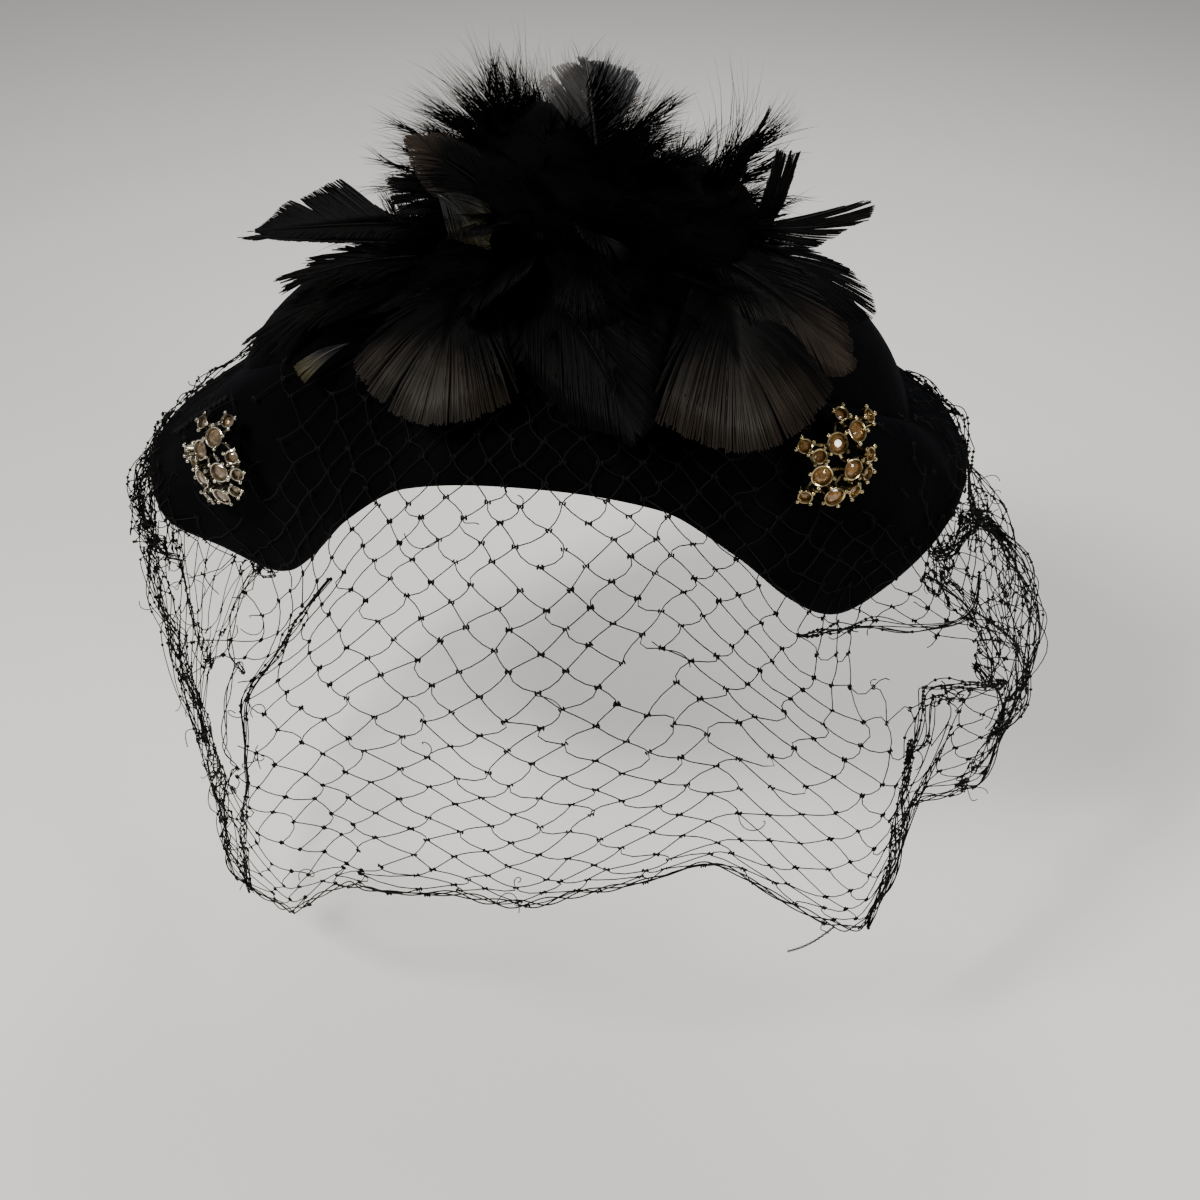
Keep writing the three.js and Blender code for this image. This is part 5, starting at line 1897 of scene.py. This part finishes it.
    def _bursts(self) -> bpy.types.Object:
        """Makes the long hairs that stand out of the mass.

        Returns:
            The object.
        """
        random = np.random.default_rng(self.seed + 2)
        bundle = Bundle()
        for burst in BURSTS:
            share = np.sort(random.random(burst.count))[:, None]
            count = max(6, int(burst.count / 11))
            knot = (np.floor(share * count) + 0.5) / count
            start, end = np.array(burst.start, float), np.array(burst.end, float)
            first, last = np.array(burst.first, float), np.array(burst.last, float)
            lean = random.normal(0, burst.loose, (count + 1, 3))[(knot[:, 0] * count).astype(int)]
            free = random.normal(0, burst.loose * 0.7, (burst.count, 3))
            near, far = (unit(first * (1 - k) + last * k) for k in (share, knot))
            heading = unit(near * (1 - burst.cling) + far * burst.cling + lean + free * (1.2 - burst.cling))
            long = burst.length[0] * (1 - knot) + burst.length[1] * knot
            long = long * random.uniform(0.6, 1.1, (burst.count, 1))
            begin = start * (1 - share) + end * share + random.normal(0, 1.2, (burst.count, 3))
            root = begin * (1 - burst.cling * 0.4) + (start * (1 - knot) + end * knot) * burst.cling * 0.4
            bow = unit(np.cross(heading, [0.1, 1, 0.1]))
            bow = bow * random.normal(0.5, 0.6, (burst.count, 1)) * burst.curl
            t = np.linspace(0, 1, 5)[None, :, None]
            path = root[:, None] + (heading * long)[:, None] * t + (bow * long)[:, None] * t * t
            self._hairs(bundle, path, burst.size, random)
        return self._finish(bundle, "plume_hairs", self.down, "down")

    def _down(self) -> bpy.types.Object:
        """Makes the down: fine curled filaments that stand out of the mass.

        Returns:
            The object.
        """
        random = np.random.default_rng(self.seed + 3)
        count, rings = 2600, 4
        centres, sizes = (np.array([part[k] for part in MASS], float) for k in (0, 1))
        pick = random.choice(len(MASS), count, p=(0.36, 0.28, 0.18, 0.18))
        way = unit(random.normal(0, 1, (count, 3)) * [1, 1, 0.8] + [0, 0, 0.35])
        start = centres[pick] + way * sizes[pick] * random.uniform(0.8, 1.05, (count, 1))
        length = random.uniform(5, 13, (count, 1, 1))
        t = np.linspace(0, 1, rings)[None, :, None]
        side = unit(np.cross(way, random.normal(0, 1, (count, 3))))[:, None]
        heading = unit(way + random.normal(0, 0.35, (count, 3)))[:, None]
        path = start[:, None] + heading * length * t + side * length * 0.35 * np.sin(t * 3) * t
        bundle = Bundle()
        self._hairs(bundle, path, self.fine_hair, random)
        return self._finish(bundle, "plume_down", self.down, "down")


# Brooches


class Size(Enum):
    """The two sizes of a brooch's stones, by radius."""

    BIG = 2.4
    SMALL = 1.5


CUPS = (
    ("a", -0.6, 5.1, Size.BIG), ("b", 4.8, 6.9, Size.BIG), ("c", 3.1, -1.1, Size.BIG),
    ("d", -4.4, -1.6, Size.BIG), ("e", -1, -7, Size.BIG), ("f", 1.5, 11, Size.SMALL),
    ("g", -7.8, 5.2, Size.SMALL), ("h", -4.9, 2.8, Size.SMALL), ("i", 9, 9.4, Size.SMALL),
    ("j", 8, 1.3, Size.SMALL), ("k", 7.4, -2.9, Size.SMALL), ("l", -7.6, -6.4, Size.SMALL),
    ("m", 4.2, -6.6, Size.SMALL),
)


@dataclass
class Brooch:
    """A cast cluster of round cups on an openwork dome, each with a cut stone and ball claws."""

    form: HatForm
    name: str
    azimuth: float
    share: float
    turn: float
    metal: MetalFinish
    stone: StoneFinish
    metal_slot: str
    stone_slot: str
    dome_radius: float = 22
    lean_radius: float = 18
    dome_top: float = 5.4
    lift: float = 1
    wall: float = 0.46
    cup_height: float = 3.2
    recess: float = 1.7
    floor: float = -0.6
    ball: float = 0.62
    bar_reach: float = 8.0
    bar_drop: float = 0.4
    bar_radius: float = 0.42

    def build(self) -> list[bpy.types.Object]:
        """Makes the setting and its stones.

        Returns:
            The two pieces.
        """
        metal, glass = Bundle(), Bundle()
        self._bars(metal)
        for number, (_, x, y, size) in enumerate(CUPS):
            frame_of_cup = self._place() @ self._cup(x, y)
            self._add_cup(metal, frame_of_cup, size.value, number * 0.7)
            self._add_stone(glass, frame_of_cup, size.value)
        setting = metal.build(f"{self.name}_metal", self.metal.material(), crease=38)
        stones = glass.build(f"{self.name}_glass", self.stone.material(), smooth=False)
        nodes = [f"{self.name}_stone_{letter}" for letter, *_ in CUPS]
        return [stand_for(setting, self.metal_slot, f"{self.name}_setting"),
                stand_for(stones, self.stone_slot, *nodes)]

    def _place(self) -> Array:
        """Frame of the brooch on the brim.

        Returns:
            The frame.
        """
        out = self.form.brim_normal(self.azimuth, self.share)
        across = unit(np.cross([0, 0, 1], out))
        frame_here = np.eye(4)
        frame_here[:3, 0], frame_here[:3, 1], frame_here[:3, 2] = across, np.cross(out, across), out
        frame_here[:3, 3] = self.form.brim(self.azimuth, self.share) + out * self.lift
        return frame_here @ np.array(Matrix.Rotation(math.radians(self.turn), 4, "Z"))

    def _height(self, x: Array | float, y: Array | float) -> Array | float:
        """Height of the dome."""
        return self.dome_top - (x * x + y * y) / (2 * self.dome_radius)

    def _cup(self, x: float, y: float) -> Array:
        """Frame of a cup, leaning out with its distance from the middle."""
        lean = Matrix.Rotation(math.hypot(x, y) / self.lean_radius, 4, Vector((-y, x, 0)))
        return np.array(Matrix.Translation((x, y, self._height(x, y))) @ lean)

    def _add_cup(self, metal: Bundle, place: Array, radius: float, turn: float) -> None:
        """Adds a cup with its thin rounded lip and the ball claws that stand round it.

        Args:
            metal: takes the cup.
            place: its frame.
            radius: the radius of its stone.
            turn: turns its claws, in radians.
        """
        outer, inner = radius + self.wall, radius + 0.04
        rim = self.floor + self.cup_height
        low = rim - self.recess
        profile = [
            (0, self.floor), (outer * 0.5, self.floor), (outer * 0.72, self.floor + 0.3),
            (outer * 0.9, self.floor + 1.2), (outer * 0.96, rim - 0.5), (outer, rim - 0.2),
            (outer * 0.99, rim), ((outer + inner) / 2, rim + 0.08), (inner, rim - 0.02),
            (inner * 0.97, rim - 0.4), (inner * 0.94, low), (0, low),
        ]
        metal.place(Pattern.turned(profile, 28), place[None])
        claw = Pattern.bead(10, 7)
        post = Pattern.turned([(0, -1), (0.7, -1), (1, 0.2), (0.8, 1), (0, 1)], 7)
        for k in range(4):
            angle = math.tau * (k + 0.5) / 4 + turn
            stand = np.array([math.cos(angle), math.sin(angle), 0])
            for pattern, centre, scale in (
                (claw, stand * (outer + self.ball * 0.55) + [0, 0, rim + 0.02], (self.ball,) * 3),
                (post, stand * (outer + 0.12) + [0, 0, rim - 1.25], (0.3, 0.3, 1.2)),
            ):
                here = np.diag([*scale, 1.0])
                here[:3, 3] = centre
                metal.place(pattern, (place @ here)[None])

    def _add_stone(self, glass: Bundle, place: Array, radius: float) -> None:
        """Adds a stone cut in facets round a flat table.

        Args:
            glass: takes the stone.
            place: the frame of its cup.
            radius: its radius.
        """
        points = []
        for count, r, z, shift in (
            (8, 0.4, 0.42, 0), (8, 0.72, 0.27, 0.5), (16, 1.0, 0.03, 0), (16, 1.0, -0.02, 0),
            (8, 0.5, -0.22, 0.5),
        ):
            angles = [math.tau * (k + shift) / count for k in range(count)]
            points += [(r * math.cos(angle), r * math.sin(angle), z) for angle in angles]
        points.append((0, 0, -0.42))
        here = np.diag([radius, radius, radius, 1.0])
        here[2, 3] = self.floor + self.cup_height - self.recess + radius * 0.3
        glass.place(Pattern.hull(points), (place @ here)[None])

    def _bars(self, metal: Bundle) -> None:
        """Adds the short low bars from each cup to those beside it.

        Args:
            metal: takes the bars.
        """
        t = np.linspace(0, 1, 7)[None]
        for i, (_, x, y, _) in enumerate(CUPS):
            for _, far_x, far_y, _ in CUPS[i + 1:]:
                if math.hypot(far_x - x, far_y - y) <= self.bar_reach:
                    self._bar(metal, x + (far_x - x) * t, y + (far_y - y) * t)

    def _bar(self, metal: Bundle, x: Array, y: Array) -> None:
        """Adds one bar that follows the dome.

        Args:
            metal: takes the bar.
            x: places along it.
            y: places along it.
        """
        path = np.stack([x, y, self._height(x, y) - self.bar_drop], -1)
        along = unit(np.gradient(path, axis=1))
        across = unit(np.cross(along, [0.0, 0.0, 1.0]))
        up = np.cross(across, along)
        place = self._place()
        turned = [vectors @ place[:3, :3].T for vectors in (path, across, up)]
        wide = np.full(path.shape[:2], self.bar_radius)
        metal.strands(Pattern.tube(6, path.shape[1], True), turned[0] + place[:3, 3], turned[1], turned[2],
                      wide, wide, np.zeros(1))


# Studio


@dataclass
class Studio:
    """Camera, soft lights and a plain pale floor."""

    eye: tuple[float, float, float] = (56.9, -345.0, 178.4)
    target: tuple[float, float, float] = (14.0, -40.0, -80.0)
    view_angle: float = 45.0
    floor_z: float = -232.0
    sensor: float = 36.0

    def build(self) -> None:
        """Makes the studio."""
        self._camera()
        self._light("key", (-420, -420, 620), 170, 8.2, (1.0, 0.975, 0.94))
        self._light("fill", (560, -360, 320), 190, 2.4, (0.96, 0.97, 1.0))
        self._light("back", (60, 520, 520), 300, 3.4, (0.97, 0.98, 1.0))
        world = bpy.data.worlds.new("studio")
        world.use_nodes = True
        world.node_tree.nodes["Background"].inputs["Color"].default_value = (0.80, 0.81, 0.83, 1.0)
        world.node_tree.nodes["Background"].inputs["Strength"].default_value = 0.27
        bpy.context.scene.world = world
        self._floor()

    def _camera(self) -> None:
        """Makes the camera."""
        data = bpy.data.cameras.new("camera")
        data.sensor_width = self.sensor
        data.lens = self.sensor / 2 / math.tan(math.radians(self.view_angle) / 2)
        data.clip_start, data.clip_end = 0.01, 20.0
        camera = bpy.data.objects.new("camera", data)
        eye, target = Vector(self.eye) * MILLIMETRE, Vector(self.target) * MILLIMETRE
        camera.location = eye
        camera.rotation_euler = (target - eye).to_track_quat("-Z", "Y").to_euler()
        bpy.context.scene.collection.objects.link(camera)
        bpy.context.scene.camera = camera

    def _light(self, name: str, place: tuple[float, float, float], size: float, power: float,
               colour: tuple[float, float, float]) -> None:
        """Makes one soft light that faces the hat.

        Args:
            name: its name.
            place: where it stands.
            size: the side of its square.
            power: its power, in watts.
            colour: its colour.
        """
        data = bpy.data.lights.new(name, "AREA")
        data.energy, data.color = power, colour
        data.size = size * MILLIMETRE
        light = bpy.data.objects.new(name, data)
        light.location = Vector(place) * MILLIMETRE
        aim = Vector(self.target) * MILLIMETRE - light.location
        light.rotation_euler = aim.to_track_quat("-Z", "Y").to_euler()
        bpy.context.scene.collection.objects.link(light)

    def _floor(self) -> None:
        """Makes the floor."""
        bm = bmesh.new()
        bmesh.ops.create_grid(bm, x_segments=8, y_segments=8, size=6,
                              matrix=Matrix.Translation((0, 0, self.floor_z * MILLIMETRE)))
        mesh = bpy.data.meshes.new("floor")
        bm.to_mesh(mesh)
        bm.free()
        dressed(mesh, "floor", FloorFinish().material())


def main() -> None:
    """Builds the hat piece by piece."""
    logging.basicConfig(level=logging.INFO, format="%(name)s: %(message)s")
    Studio().build()
    form = HatForm()
    cover = Cover(form)
    # the second colour of each metal is painted shade, set in patches by noise
    gold = MetalFinish("metal_gold", (0.66, 0.54, 0.29), (0.05, 0.034, 0.012))
    pale = MetalFinish("metal_pale", (0.70, 0.65, 0.52), (0.06, 0.05, 0.035))
    amber = StoneFinish("stone_amber", (0.62, 0.33, 0.07), (0.20, 0.085, 0.014))
    champagne = StoneFinish("stone_champagne", (0.48, 0.35, 0.20), (0.14, 0.085, 0.045))
    makers = (
        VelvetHat(form),
        Veil(form, cover),
        Plume(cover),
        Brooch(form, "brooch_left", -68.5, 0.53, 30, pale, champagne, "metal_pale", "stone_champagne"),
        Brooch(form, "brooch_right", 61.5, 0.33, -4, gold, amber, "metal_gold", "stone_amber"),
    )
    for maker in makers:
        for piece in maker.build():
            log.info("%s is on the %s", piece.name, BODY)


if __name__ == "__main__":
    main()
